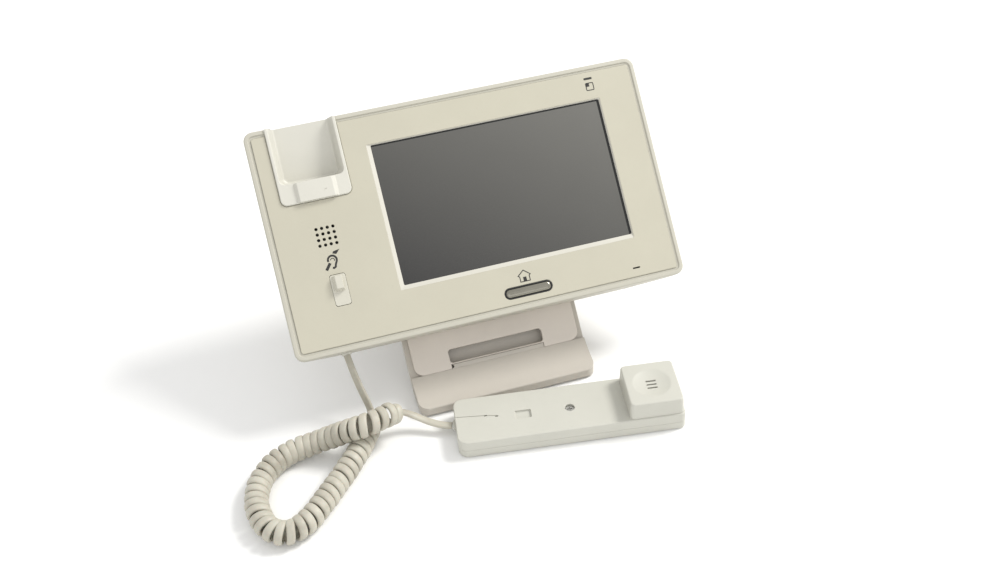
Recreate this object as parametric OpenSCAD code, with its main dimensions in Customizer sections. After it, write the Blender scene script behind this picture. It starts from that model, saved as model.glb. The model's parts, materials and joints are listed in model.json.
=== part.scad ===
// Desk video intercom station: an inclined monitor on a folding stand, with a corded handset.
// X runs along the monitor's width, -Y faces the user, +Z is up and the desk is at Z = 0.
// The origin is the middle of the stand's front foot, on the desk.

/* [Monitor] */
// Width of the monitor
monitor_w = 260; // [256:1:264]
// Height of the monitor, measured along its face
monitor_h = 148; // [146:1:152]
// Depth of the monitor, from its face to its back
monitor_t = 31; // [30:0.5:34]
// Radius of the monitor's corners
corner_r = 6; // [4:0.5:8]
// Width of the raised rim round the face
rim_w = 2.8; // [2.4:0.1:3.4]
// Width of the groove between the rim and the front plate
groove_w = 1.6; // [1.2:0.1:2]
// Thickness of the moulded walls
wall = 2.5; // [2:0.1:3]

/* [Screen] */
// Width of the visible screen
screen_w = 154; // [150:1:156]
// Height of the visible screen
screen_h = 92; // [88:1:94]
// How far the screen's centre lies to the right of the face's centre
screen_x = 24; // [22:0.5:26]
// How far the screen's centre lies above the face's centre
screen_y = 4.8; // [3:0.1:6]

/* [Handset cradle and hook] */
// Distance from the face's centre to the cradle's middle, leftwards
cradle_left = 93.5; // [92:0.5:95]
// Outer width of the cradle insert
cradle_w = 45.4; // [44:0.1:47]
// Width of the cradle's pocket
pocket_w = 41; // [40.5:0.1:42]
// Depth of the cradle's pocket at its lip
pocket_d = 13; // [12.5:0.1:14]
// Depth of the cradle's pocket at the monitor's upper edge
pocket_top_d = 4.5; // [4:0.1:8]
// Angle that the hook lever turns when the handset presses it
hook_travel = 6; // [4:0.5:6]

/* [Stand] */
// Angle between the desk and the monitor's face
face_tilt = 45; // [44:0.5:47]
// Width of the stand
stand_w = 120; // [118:1:124]
// Backward lean of the rear leg, from the vertical
leg_lean = 8; // [5:1:12]

/* [Handset] */
// Length of the handset
hs_len = 145; // [143:1:148]
// Width of the handset
hs_w = 39.6; // [39:0.1:40]
// Height of the handset's grip
hs_h = 13.2; // [13:0.1:15]
// Length of the earpiece block
ear_len = 36; // [35:0.5:37]
// Height of the earpiece block above the grip
ear_h = 12; // [11:0.5:12.5]
// Width of the ledge that the grip leaves round the earpiece block
ear_ledge = 1; // [0.5:0.1:1.2]
// Angle of the handset on the desk, about the vertical
hs_turn = -8.8; // [-12:0.1:-6]

/* [Cord] */
// Width of the flat cord
cord_w = 5.2; // [4:0.1:6]
// Thickness of the flat cord
cord_t = 2.6; // [2:0.1:3]
// Outer diameter of the curly part
coil_d = 15.5; // [14:0.5:16]

/* [Hidden] */
$fn = 48;
eps = 0.01;
gap = 0.15;

// Colours
cream = [0.85, 0.83, 0.75];
soft_white = [0.88, 0.87, 0.83];
stand_grey = [0.79, 0.76, 0.73];
screen_grey = [0.33, 0.34, 0.35];
board_green = [0.10, 0.35, 0.20];
steel = [0.70, 0.71, 0.73];
black = [0.10, 0.10, 0.10];
cord_white = [0.86, 0.84, 0.78];

// Stand profile, in the Y-Z plane
foot_front = -13;
foot_lift = 0.6;
apron_front_z = 7.5;
crease_y = 11.5;
crease_z = 13.9;
crease_drop = 99.5;     // along the face, from its centre down to the crease
plate_t = 3;
shell_t = 7;
shell_top = 26;
plate_w = stand_w - 6.8;
nose_r = 1.2;
front_corner_r = 7;
slot_y = -91;
slot_size = [64.5, 9];
notch_half = 32;
notch_h = 3.1;
pad_size = [100, 16, 1.6];

// Centre of the monitor's face
face_y = crease_y + crease_drop * cos(face_tilt) - monitor_t * sin(face_tilt);
face_z = crease_z + crease_drop * sin(face_tilt) + monitor_t * cos(face_tilt);

// A point given along and out of the face, in the object's Y-Z plane
function face_point(y, z) = [face_y + y * cos(face_tilt) - z * sin(face_tilt),
    face_z + y * sin(face_tilt) + z * cos(face_tilt)];

// Layers behind the face, as depths below it
frame_d = 9;
groove_d = 0.8;
plate_d = 2.5;
plate_r = 1.8;
glass_front = 1.2;
glass_t = 1.1;
lcd_front = 3;
lcd_t = 4.5;
tray_t = 1.2;
board_front = 12.4;
board_t = 1.6;
recess_d = 2;

// Cradle
cradle_x = -cradle_left;
cradle_bottom = 23.4;
lip_top = 36.8;
cradle_depth = 16;
cradle_proud = 1.2;
cradle_corner = 4;
pocket_corner = 3;
tab_left = -107;
tab_right = -78.4;
tab_slope = 3.6;
tab_h = 3.2;

// Hook lever
lever_x = -92.8;
lever_w = 10;
lever_h = 20.2;
lever_y = -35;
hinge_y = -43;
hinge_depth = 3;
lever_barrel_r = 2.2;
lever_pin_r = 1;
lever_pin_len = 20;
lever_ear_x = 6.9;      // from the lever's middle to each of its two bearing ears
spring_x = 8;
peg_x = [-96, -90.2];
peg_y = [-35.4, -26];
peg_top = 4.2;

// Home button
button_x = 24.5;
button_y = -61.9;
button_w = 30;
button_h = 5.2;

// Status lamp, microphone, and their reliefs in the frame's ledge, as places and sizes
lamp_at = [96.9, 65.2];
mic_at = [98.3, -63.8];
ledge_reliefs = [[[button_x, -64.5], [36, 5]], [[98.3, -64], [7.6, 4.4]], [[96.9, 65], [8, 5]]];

// Tapping screws: their shank's radius, which is also the pilot hole's, and clearance holes
screw_r = 1.45;
screw_hole_r = 1.7;

// Monitor fasteners
boss_r = 4;
boss_places = [[-84, -68], [88, -68], [-62, 62], [84, 62]];
side_slope = 33;        // how far the left and right sides draw in towards the back
top_slope = 8;
bracket_y = -20;
bracket_w = 100;
bracket_h = 90;
bracket_places = [for (x = [-40, 40]) for (y = [-50, 10]) [x, y]];
bracket_screw_r = 1.5;
catch_x = 30;           // from the middle to each of the bracket's two upper catches
standoff_places = [for (x = [-78, 78]) for (y = [-44, 44]) [x, y]];
window_w = 60;
window_h = 30;

// Stand hinge and fasteners
stand_screw_places = [[-50, -80], [50, -80], [-50, 21], [50, 21]];
leg_w = 90;
leg_t = 5;
leg_hinge_y = 10;
leg_hinge_depth = monitor_t + plate_t + shell_t + 5.5;
leg_hinge = face_point(leg_hinge_y, -leg_hinge_depth);
leg_pin_r = 2;
leg_barrel_r = 5;
leg_strip_h = 6;
leg_len = leg_hinge[1] / cos(leg_lean);

// Cord openings and the glands in them, as half sizes across and along the flat cord's section
gland_x = -98;
gland_depth = 14;
opening_half = [3.6, 2.4];
gland_half = [3.4, 2.2];
flange_half = [4.6, 3.2];

// Handset on the desk
hs_pos = [-42.5, -35.5];
hs_split = 6;
hs_wall = 2;
hs_screw = [73.5, -0.6];
hs_screw_drop = 3.6;    // from the grip's face down to the screw head's seat
hs_screw_head_h = 2.2;
hook_hole = [43.4, -0.7];
hook_hole_d = 1.6;
ear_x = hs_len - ear_len;
ear_centre_x = 126.5;
dish_r = 13;
dish_d = 2;
cord_entry_y = 4.2;

// Cord routes, from the handset's end of the curly part to its monitor end, and both tails
coil_route = [[-79, -20, 20], [-87, -27, 23.5], [-97, -30, 24.2], [-107, -28, 21.5],
    [-119, -23, 14.5], [-131, -20, 9.5], [-142, -20, 8], [-152, -23, 8], [-161, -30, 8],
    [-168, -39, 8], [-172, -50, 8], [-173, -61, 8], [-171, -72, 8], [-167, -81, 8],
    [-160, -86, 8], [-152, -85, 8], [-143, -79, 8], [-134, -69, 8], [-126, -60, 8],
    [-118, -51, 8], [-110, -41, 8], [-104, -33, 8], [-99, -25, 8], [-94, -16, 8], [-90, -8, 8]];
monitor_tail_route = [[-98, 16.5, 43], [-97.5, 13, 39.5], [-96.5, 8, 33.5], [-94.5, 2, 25],
    [-92, -3, 16], [-90, -8, 8]];
handset_tail_route = [[-44, -31, 6], [-48, -30.3, 6], [-54, -26.5, 6.5], [-61, -21, 8],
    [-69, -17, 13], [-75, -17.5, 17.5], [-79, -20, 20]];

// ---- Shared shapes ----

// Rectangle with rounded corners, kept as true arcs
module round_rect(w, h, r) {
    square([w - 2 * r, h], center = true);
    square([w, h - 2 * r], center = true);
    for (x = [-1, 1])
        for (y = [-1, 1])
            translate([x * (w / 2 - r), y * (h / 2 - r)])
                circle(r);
}

module round_slab(w, h, r, front, depth) {
    translate([0, 0, -front - depth])
        linear_extrude(depth)
            round_rect(w, h, r);
}

// Block given by its limits along each axis
module block(x, y, z) {
    translate([x[0], y[0], z[0]])
        cube([x[1] - x[0], y[1] - y[0], z[1] - z[0]]);
}

// The monitor's own frame: origin at the centre of its face, +Y up the face, +Z outwards
module on_face() {
    translate([0, face_y, face_z])
        rotate([face_tilt, 0, 0])
            children();
}

module on_leg() {
    translate([0, leg_hinge[0], leg_hinge[1]])
        rotate([leg_lean, 0, 0])
            children();
}

// The handset's own frame: origin at its mouth end on the desk, +X along it
module on_handset() {
    translate([hs_pos[0], hs_pos[1], 0])
        rotate([0, 0, hs_turn])
            children();
}

module x_cylinder(r, length) {
    rotate([0, 90, 0])
        cylinder(r = r, h = length, center = true);
}

// Side profile in the Y-Z plane, drawn out along X
module side_extrude(width) {
    rotate([90, 0, 90])
        linear_extrude(width, center = true)
            children();
}

// Pan head screw, its head's underside at Z = 0 and its shank going up
module screw(head_r, head_h, shank_r, shank_len) {
    translate([0, 0, -head_h])
        difference() {
            cylinder(r = head_r, h = head_h);
            for (turn = [0, 90])
                rotate([0, 0, turn])
                    translate([0, 0, -eps])
                        block([-head_r * 0.6, head_r * 0.6], [-0.4, 0.4], [0, head_h * 0.5]);
        }
    translate([0, 0, -eps])
        cylinder(r = shank_r, h = shank_len + eps);
}

// ---- Front of the monitor ----

module cradle_cut(clearance) {
    block([cradle_x - cradle_w / 2 - clearance, cradle_x + cradle_w / 2 + clearance],
        [cradle_bottom - clearance, monitor_h / 2 + 1], [-cradle_depth - clearance, 2]);
}

module front_frame() {
    plate_margin = rim_w + groove_w - gap;
    ledge_w = plate_margin + 6;
    color(soft_white)
        on_face()
            difference() {
                union() {
                    difference() {
                        round_slab(monitor_w, monitor_h, corner_r, 0, frame_d);
                        translate([0, 0, eps]) {
                            round_slab(monitor_w - 2 * rim_w, monitor_h - 2 * rim_w, 3.5, 0,
                                groove_d + eps);
                            round_slab(monitor_w - 2 * plate_margin, monitor_h - 2 * plate_margin,
                                plate_r + gap, 0, plate_d + gap + eps);
                        }
                        translate([0, 0, -plate_d])
                            round_slab(monitor_w - 2 * ledge_w, monitor_h - 2 * ledge_w, 3, 0,
                                frame_d);
                    }
                    for (p = boss_places)
                        translate([p[0], p[1], -frame_d])
                            cylinder(r = boss_r, h = frame_d - plate_d - gap - 1);
                }
                cradle_cut(gap);
                // Room in the ledge for the button, the microphone and the lens
                for (r = ledge_reliefs)
                    translate([r[0][0], r[0][1], -frame_d / 2])
                        cube([r[1][0], r[1][1], frame_d + 2], center = true);
                for (p = boss_places)
                    translate([p[0], p[1], -frame_d - eps])
                        cylinder(r = screw_r, h = 5);
            }
}

module front_plate() {
    w = monitor_w - 2 * (rim_w + groove_w);
    h = monitor_h - 2 * (rim_w + groove_w);
    hole_pitch = 3.6;
    hole_r = 1.05;
    ear_r = 2.4;
    color(cream)
        on_face()
            difference() {
                union() {
                    round_slab(w, h, plate_r, 0, plate_d);
                    for (side = [-1, 1])
                        translate([lever_x + side * lever_ear_x, hinge_y, -hinge_depth]) {
                            x_cylinder(ear_r, 1.6);
                            block([-0.8, 0.8], [-ear_r, ear_r], [0, 1]);
                        }
                }
                translate([screen_x, screen_y, 0]) {
                    translate([0, 0, 1])
                        round_slab(screen_w, screen_h, 1, 0, plate_d + 2);
                    round_slab(screen_w + 6, screen_h + 6, 1, glass_front, plate_d);
                }
                cradle_cut(gap);
                for (i = [0:3])
                    for (j = [0:3])
                        translate([cradle_x + (i - 1.5) * hole_pitch, (j - 1.5) * hole_pitch,
                                -plate_d - 1])
                            cylinder(r = hole_r, h = plate_d + 2, $fn = 24);
                translate([lever_x, lever_y, 1])
                    round_slab(lever_w + 0.7, lever_h + 0.8, 1.6, 0, plate_d + 2);
                translate([lever_x, hinge_y, -hinge_depth])
                    x_cylinder(lever_pin_r, 30);
                translate([lever_x + spring_x + 1.1, hinge_y, -hinge_depth])
                    x_cylinder(2, 2.7);
                translate([button_x, button_y, 1])
                    round_slab(button_w + 0.7, button_h + 0.7, (button_h + 0.6) / 2, 0,
                        plate_d + 2);
                translate([lamp_at[0], lamp_at[1], 1])
                    round_slab(5.6, 1.4, 0.4, 0, plate_d + 2);
                translate([mic_at[0], mic_at[1], 1])
                    round_slab(5, 1, 0.3, 0, plate_d + 2);
            }
}

// Pocket for the earpiece block: open at the top edge, and deepest behind the lip
module cradle_pocket() {
    r = pocket_corner;
    intersection() {
        union() {
            block([cradle_x - pocket_w / 2, cradle_x + pocket_w / 2],
                [lip_top + r, monitor_h / 2 + 1], [-pocket_d, 2]);
            block([cradle_x - pocket_w / 2 + r, cradle_x + pocket_w / 2 - r],
                [lip_top, monitor_h / 2 + 1], [-pocket_d, 2]);
            for (side = [-1, 1])
                translate([cradle_x + side * (pocket_w / 2 - r), lip_top + r, -pocket_d])
                    cylinder(r = r, h = pocket_d + 2);
        }
        side_extrude(monitor_w)
            polygon([[lip_top - 1, 3], [lip_top - 1, -pocket_d], [lip_top, -pocket_d],
                [monitor_h / 2, -pocket_top_d], [monitor_h / 2 + 2, -pocket_top_d],
                [monitor_h / 2 + 2, 3]]);
    }
}

module handset_cradle() {
    r = cradle_corner;
    color(soft_white)
        on_face() {
            // Raised tab on the lip, under the hung handset's neck
            translate([0, lip_top - 1, 0])
                rotate([90, 0, 0])
                    linear_extrude(lip_top - 1.4 - cradle_bottom)
                        polygon([[tab_left, cradle_proud - 0.3], [tab_left, cradle_proud],
                            [tab_left + tab_slope, tab_h], [tab_right - tab_slope, tab_h],
                            [tab_right, cradle_proud], [tab_right, cradle_proud - 0.3]]);
            difference() {
                union() {
                    block([cradle_x - cradle_w / 2, cradle_x + cradle_w / 2],
                        [cradle_bottom + r, monitor_h / 2], [-cradle_depth, cradle_proud]);
                    block([cradle_x - cradle_w / 2 + r, cradle_x + cradle_w / 2 - r],
                        [cradle_bottom, monitor_h / 2], [-cradle_depth, cradle_proud]);
                    for (side = [-1, 1])
                        translate([cradle_x + side * (cradle_w / 2 - r), cradle_bottom + r,
                                -cradle_depth])
                            cylinder(r = r, h = cradle_depth + cradle_proud);
                }
                cradle_pocket();
            }
        }
}

module touch_glass() {
    color(screen_grey)
        on_face()
            translate([screen_x, screen_y, 0])
                round_slab(screen_w + 5, screen_h + 5, 1, glass_front, glass_t);
}

module glass_gasket() {
    depth = lcd_front - glass_front - glass_t;
    color(black)
        on_face()
            translate([screen_x, screen_y, 0])
                difference() {
                    round_slab(screen_w + 5, screen_h + 5, 1, glass_front + glass_t, depth);
                    translate([0, 0, 1])
                        round_slab(screen_w + 1, screen_h + 1, 0.5, glass_front + glass_t,
                            depth + 2);
                }
}

module lcd_module() {
    color([0.45, 0.46, 0.48])
        on_face()
            translate([screen_x, screen_y, 0]) {
                round_slab(screen_w + 9, screen_h + 8, 1, lcd_front, lcd_t - 1.5);
                round_slab(screen_w + 5, screen_h + 4, 1, lcd_front + lcd_t - 1.5 - eps,
                    1.5 + eps);
            }
}

module lcd_chassis() {
    front = lcd_front + lcd_t;
    color(steel)
        on_face()
            translate([screen_x, screen_y, 0])
                difference() {
                    union() {
                        round_slab(172, 104, 2, front, tray_t);
                        for (p = standoff_places)
                            translate([p[0], p[1], -board_front])
                                cylinder(r = 2.5, h = board_front - front - tray_t + eps);
                    }
                    for (x = [-50, 0, 50])
                        translate([x, 10, 1])
                            round_slab(30, 40, 3, front, tray_t + 2);
                    for (p = standoff_places)
                        translate([p[0], p[1], -board_front - 1])
                            cylinder(r = 1.2, h = 10);
                }
}

module main_board() {
    back = -board_front - board_t;
    color(board_green)
        on_face()
            difference() {
                union() {
                    block([-64, 112], [-64, 56], [back, -board_front]);
                    block([0, 28], [-8, 20], [back - 2.4, back + eps]);
                    block([40, 54], [0, 10], [back - 1.6, back + eps]);
                    block([62, 80], [-30, -18], [back - 1.6, back + eps]);
                    for (x = [40, 52, 64])
                        translate([x, 32, back - 6])
                            cylinder(r = 4, h = 6 + eps);
                    for (x = [80, 90, 100])
                        block([x, x + 6], [20, 34], [back - 4, back + eps]);
                }
                for (p = standoff_places)
                    translate([screen_x + p[0], screen_y + p[1], back - 1])
                        cylinder(r = 1.6, h = 5);
            }
}

module audio_board() {
    color(board_green)
        on_face() {
            block([-112, -68], [-58, -16], [-14, -12.4]);
            block([-106, -98], [-50, -42], [-16.5, -14 + eps]);
        }
}

module status_led_lens() {
    color([0.75, 0.80, 0.78, 0.6])
        on_face()
            translate([lamp_at[0], lamp_at[1], 0]) {
                round_slab(5.3, 1.1, 0.3, 0.1, 5);
                round_slab(7, 3, 0.5, plate_d + 0.1, 2.4);
            }
}

module monitor_speaker() {
    color(black)
        on_face()
            translate([cradle_x, 0, 0])
                difference() {
                    union() {
                        translate([0, 0, -5.2])
                            cylinder(r = 14, h = 2.5);
                        translate([0, 0, -9])
                            cylinder(r = 11, h = 3.8 + eps);
                        translate([0, 0, -12])
                            cylinder(r = 7, h = 3 + eps);
                    }
                    translate([0, 0, -4])
                        cylinder(r1 = 8, r2 = 12, h = 2);
                }
}

module monitor_microphone() {
    color(black)
        on_face()
            translate([98.3, -62, -5.6])
                cylinder(r = 3, h = 2.7);
}

// ---- Controls ----

module home_button() {
    color([0.80, 0.81, 0.83])
        on_face()
            translate([button_x, button_y, 0]) {
                round_slab(button_w, button_h, button_h / 2 - eps, -0.8, 4);
                round_slab(button_w + 2.4, button_h + 2.4, (button_h + 2.2) / 2, 2.8, 1.2);
            }
}

module home_switch() {
    color(black)
        on_face()
            translate([button_x, button_y, 0]) {
                block([-3, 3], [-2, 4], [-board_front, -8.4]);
                translate([0, 0, -8.4 - eps])
                    cylinder(r = 1.75, h = 3.2);
            }
}

// Pad and peg that the hung handset presses in; it turns on a pin at its lower end
module hook_lever() {
    pad_t = 3;
    color(soft_white)
        on_face()
            difference() {
                union() {
                    translate([lever_x, lever_y, 0])
                        round_slab(lever_w, lever_h, 1.4, 0, pad_t);
                    block(peg_x, peg_y, [-eps, peg_top - 0.8]);
                    block(peg_x + [0.4, -0.4], peg_y + [0.8, -0.4], [peg_top - 1.2, peg_top]);
                    translate([lever_x, hinge_y, -hinge_depth])
                        x_cylinder(lever_barrel_r, lever_w - 1.4);
                }
                translate([lever_x, hinge_y, -hinge_depth])
                    x_cylinder(lever_pin_r + 0.06, lever_w + 4);
            }
}

module hook_lever_pin() {
    color(steel)
        on_face()
            translate([lever_x, hinge_y, -hinge_depth])
                x_cylinder(lever_pin_r, lever_pin_len);
}

// Torsion spring beside the lever, its closed turns wound on the pin
module hook_spring() {
    wire_r = 0.35;
    inner_r = lever_pin_r + 0.15;
    turns_len = 2.1;
    color(steel)
        on_face()
            translate([lever_x + spring_x, hinge_y, -hinge_depth]) {
                translate([turns_len / 2, 0, 0])
                    difference() {
                        x_cylinder(inner_r + 2 * wire_r, turns_len);
                        x_cylinder(inner_r, turns_len + 1);
                    }
                translate([0.6, inner_r + wire_r, -6])
                    cylinder(r = 0.25, h = 5.6);
            }
}

module hook_switch() {
    color(black)
        on_face() {
            block([-99.2, -86.4], [-32, -26], [-12.4, -6.6]);
            block([-91, -88.6], [-30.2, -27.8], [-6.6 - eps, -5.5]);
        }
}

// ---- Back of the monitor ----

// Tapered body of the rear housing, drawn in by an equal margin on every side
module housing_body(inset, back) {
    taper = side_slope / (monitor_t - frame_d);
    top_taper = top_slope / (monitor_t - frame_d);
    half_w = monitor_w / 2 - inset;
    half_h = monitor_h / 2 - inset;
    run = back - frame_d;
    intersection() {
        round_slab(2 * half_w, 2 * half_h, corner_r - inset / 2, frame_d - inset, monitor_t);
        rotate([90, 0, 0])
            linear_extrude(monitor_h, center = true)
                polygon([[-half_w, inset - frame_d], [half_w, inset - frame_d],
                    [half_w, -frame_d], [half_w - taper * run, -back],
                    [taper * run - half_w, -back], [-half_w, -frame_d]]);
        side_extrude(monitor_w)
            polygon([[-half_h, inset - frame_d], [half_h, inset - frame_d],
                [half_h, -frame_d], [half_h - top_taper * run, -back], [-half_h, -back]]);
    }
}

module rear_housing() {
    color(soft_white)
        on_face()
            difference() {
                union() {
                    difference() {
                        housing_body(0, monitor_t);
                        housing_body(wall, monitor_t - wall);
                    }
                    block([-bracket_w / 2 - 4, bracket_w / 2 + 4],
                        [bracket_y - bracket_h / 2 - 4, bracket_y + bracket_h / 2 + 4],
                        [-monitor_t + 0.5, -monitor_t + wall + recess_d]);
                    for (p = boss_places)
                        translate([p[0], p[1], -monitor_t + 1])
                            cylinder(r = 3.5, h = monitor_t - frame_d - 1 - gap);
                }
                // Recess for the mounting bracket and window for the wiring
                block([-bracket_w / 2 - 0.5, bracket_w / 2 + 0.5],
                    [bracket_y - bracket_h / 2 - 0.5, bracket_y + bracket_h / 2 + 0.5],
                    [-monitor_t - 1, -monitor_t + recess_d]);
                block([-window_w / 2, window_w / 2],
                    [bracket_y - window_h / 2, bracket_y + window_h / 2],
                    [-monitor_t - 1, -monitor_t + 8]);
                for (x = [-catch_x, catch_x])
                    block([x - 4.4, x + 4.4], [18, 21.2], [-monitor_t, -monitor_t + 8]);
                for (p = boss_places)
                    translate([p[0], p[1], -monitor_t - 1]) {
                        cylinder(r = screw_hole_r, h = 30);
                        cylinder(r = 3, h = 4);
                    }
                cradle_cut(gap);
                // Opening for the cord's gland in the lower wall
                block([gland_x - opening_half[0], gland_x + opening_half[0]],
                    [-monitor_h / 2 - 1, -monitor_h / 2 + wall + 1],
                    [-gland_depth - opening_half[1], -gland_depth + opening_half[1]]);
            }
}

module terminal_block() {
    back = -board_front - board_t;
    color([0.15, 0.40, 0.30])
        on_face()
            difference() {
                block([-24, 24], [bracket_y - 7, bracket_y + 5], [back - 10, back]);
                for (i = [0:7]) {
                    translate([-21 + i * 6, bracket_y, back - 11])
                        cylinder(r = 1.5, h = 4, $fn = 24);
                    translate([-21 + i * 6, bracket_y - 8, back - 6])
                        rotate([-90, 0, 0])
                            cylinder(r = 1.2, h = 7, $fn = 24);
                }
            }
}

module mounting_bracket() {
    t = 1.6;
    color(steel)
        on_face()
            difference() {
                union() {
                    block([-bracket_w / 2, bracket_w / 2],
                        [bracket_y - bracket_h / 2, bracket_y + bracket_h / 2],
                        [-monitor_t, -monitor_t + t]);
                    for (x = [-catch_x, catch_x]) {
                        block([x - 4, x + 4], [18.4, 19.9], [-monitor_t, -monitor_t + 5]);
                        block([x - 4, x + 4], [18.4, 20.8], [-monitor_t + 4.9, -monitor_t + 6]);
                    }
                }
                block([-window_w / 2 - 1, window_w / 2 + 1],
                    [bracket_y - window_h / 2 - 1, bracket_y + window_h / 2 + 1],
                    [-monitor_t - 1, -monitor_t + t + 1]);
                for (p = bracket_places)
                    translate([p[0], p[1], -monitor_t - 1])
                        cylinder(r = bracket_screw_r, h = t + 2);
            }
}

module bracket_screws() {
    color(steel)
        on_face()
            for (p = bracket_places)
                translate([p[0], p[1], -monitor_t - plate_t])
                    screw(3.2, 2, bracket_screw_r, plate_t + 1.6);
}

module housing_screws() {
    color(steel)
        on_face()
            for (p = boss_places)
                translate([p[0], p[1], -monitor_t + 3])
                    screw(2.7, 2, screw_r, monitor_t - frame_d + 1.4);
}

module cord_gland() {
    color(soft_white)
        on_face() {
            block([gland_x - gland_half[0], gland_x + gland_half[0]],
                [-monitor_h / 2 - 1.5, -monitor_h / 2 + wall + 0.1],
                [-gland_depth - gland_half[1], -gland_depth + gland_half[1]]);
            block([gland_x - flange_half[0], gland_x + flange_half[0]],
                [-monitor_h / 2 + wall + 0.1, -monitor_h / 2 + wall + 2],
                [-gland_depth - flange_half[1], -gland_depth + flange_half[1]]);
        }
}

// ---- Stand ----

// Concave rise of the apron, from its front edge to the crease
function apron(s) = [foot_front + nose_r + (crease_y - foot_front - nose_r) * s,
    apron_front_z + (crease_z - apron_front_z) * (0.45 * s + 0.55 * pow(s, 2.2))];

module stand_profile() {
    steps = 8;
    back = monitor_t + plate_t + shell_t;
    nose = [for (a = [180:-30:90])
        [foot_front + nose_r * (1 + cos(a)), apron_front_z - nose_r * (1 - sin(a))]];
    slope = face_point(0, -back);
    polygon(concat(
        [[foot_front + 1, foot_lift], [foot_front, foot_lift + 1]],
        nose,
        [for (i = [1:steps]) apron(i / steps)],
        [face_point(-crease_drop - 0.1, -monitor_t - plate_t),
            face_point(shell_top, -monitor_t - plate_t),
            face_point(shell_top, -back),
            [slope[0] - (slope[1] - foot_lift) / tan(face_tilt), foot_lift]]));
}

module stand_base() {
    r = front_corner_r;
    seat = monitor_t + plate_t;
    color(stand_grey)
        difference() {
            union() {
                side_extrude(stand_w)
                    stand_profile();
                // Tongue that fills the notch in the plate's lower edge
                on_face()
                    block([-notch_half + 0.3, notch_half - 0.3],
                        [-crease_drop - 0.4, -crease_drop + notch_h - 0.3],
                        [-seat - eps, -monitor_t - 0.4]);
                // Hinge lugs for the rear leg
                on_face()
                    for (side = [-1, 1])
                        translate([side * 50.5, leg_hinge_y, -leg_hinge_depth]) {
                            x_cylinder(leg_barrel_r, 8);
                            block([-4, 4], [-leg_barrel_r, leg_barrel_r], [0, 6]);
                        }
            }
            // Rounded front corners
            for (side = [-1, 1])
                translate([side * (stand_w / 2 - r), foot_front + r, -1])
                    difference() {
                        block([min(0, side * (r + 1)), max(0, side * (r + 1))], [-r - 1, 0],
                            [0, 20]);
                        translate([0, 0, -1])
                            cylinder(r = r, h = 22);
                    }
            // Groove for the foot pad
            block([-pad_size[0] / 2 - 0.2, pad_size[0] / 2 + 0.2],
                [-pad_size[1] / 2 - 0.2, pad_size[1] / 2 + 0.2], [-1, pad_size[2]]);
            on_face() {
                // Hollow behind the plate's slot, and window for the wiring
                block([-37, 37], [-crease_drop + 3.2, -80], [-seat - 5.4, -seat + 1]);
                block([-window_w / 2, window_w / 2],
                    [bracket_y - window_h / 2, bracket_y + window_h / 2],
                    [-seat - shell_t - 1, -seat + 1]);
                translate([0, leg_hinge_y, -leg_hinge_depth])
                    x_cylinder(leg_pin_r, 130);
                for (p = bracket_places)
                    translate([p[0], p[1], -seat - 3])
                        cylinder(r = 4, h = 4);
                for (p = stand_screw_places)
                    translate([p[0], p[1], -seat - shell_t - 1]) {
                        cylinder(r = screw_hole_r, h = 10);
                        translate([0, 0, 3.8])
                            cylinder(r = 3.7, h = 6);
                    }
            }
        }
}

module stand_plate() {
    r = 6;
    seat = monitor_t + plate_t;
    bottom = -crease_drop;
    top = shell_top + 1;
    color(stand_grey)
        on_face()
            difference() {
                union() {
                    block([-plate_w / 2, plate_w / 2], [bottom + r, top], [-seat, -monitor_t]);
                    block([r - plate_w / 2, plate_w / 2 - r], [bottom, top],
                        [-seat, -monitor_t]);
                    for (side = [-1, 1])
                        translate([side * (plate_w / 2 - r), bottom + r, -seat])
                            cylinder(r = r, h = plate_t);
                    for (p = stand_screw_places)
                        translate([p[0], p[1], -seat - 4])
                            cylinder(r = 3.5, h = 4 + eps);
                }
                // Slot and the notch below it
                translate([0, slot_y, 1])
                    round_slab(slot_size[0], slot_size[1], 2, monitor_t, plate_t + 2);
                block([-notch_half, notch_half], [bottom - 1, bottom + notch_h],
                    [-seat - 1, -monitor_t + 1]);
                // Window for the wiring
                block([-window_w / 2, window_w / 2],
                    [bracket_y - window_h / 2, bracket_y + window_h / 2],
                    [-seat - 1, -monitor_t + 1]);
                for (p = bracket_places)
                    translate([p[0], p[1], -seat - 1])
                        cylinder(r = screw_hole_r, h = plate_t + 2);
                for (p = stand_screw_places)
                    translate([p[0], p[1], -seat - 5])
                        cylinder(r = screw_r, h = 6.5);
            }
}

module stand_screws() {
    back = monitor_t + plate_t + shell_t;
    color(steel)
        on_face()
            for (p = stand_screw_places)
                translate([p[0], p[1], -back])
                    screw(2.9, 2, screw_r, 8);
}

module front_foot_pad() {
    color([0.25, 0.25, 0.25])
        block([-pad_size[0] / 2, pad_size[0] / 2], [-pad_size[1] / 2, pad_size[1] / 2],
            [0, pad_size[2]]);
}

module rear_leg() {
    strip_top = leg_len - leg_strip_h;
    color(stand_grey)
        on_leg()
            difference() {
                union() {
                    x_cylinder(leg_barrel_r, leg_w + 1.4);
                    block([-leg_w / 2, leg_w / 2], [-leg_t / 2, leg_t / 2], [-strip_top, 0]);
                    block([-20, 20], [-1, 3], [0, 5.8]);
                }
                x_cylinder(leg_pin_r + 0.08, leg_w + 10);
                block([-28, 28], [-leg_t, leg_t], [-62, -18]);
            }
}

module leg_pin() {
    color(steel)
        translate([0, leg_hinge[0], leg_hinge[1]])
            x_cylinder(leg_pin_r, 109);
}

module leg_foot_strip() {
    strip_top = leg_len - leg_strip_h;
    color([0.25, 0.25, 0.25])
        intersection() {
            on_leg()
                block([-leg_w / 2 + 1, leg_w / 2 - 1], [-4, 4], [-leg_len - 4, -strip_top]);
            block([-60, 60], [0, 300], [0, 40]);
        }
}

// ---- Handset ----

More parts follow.
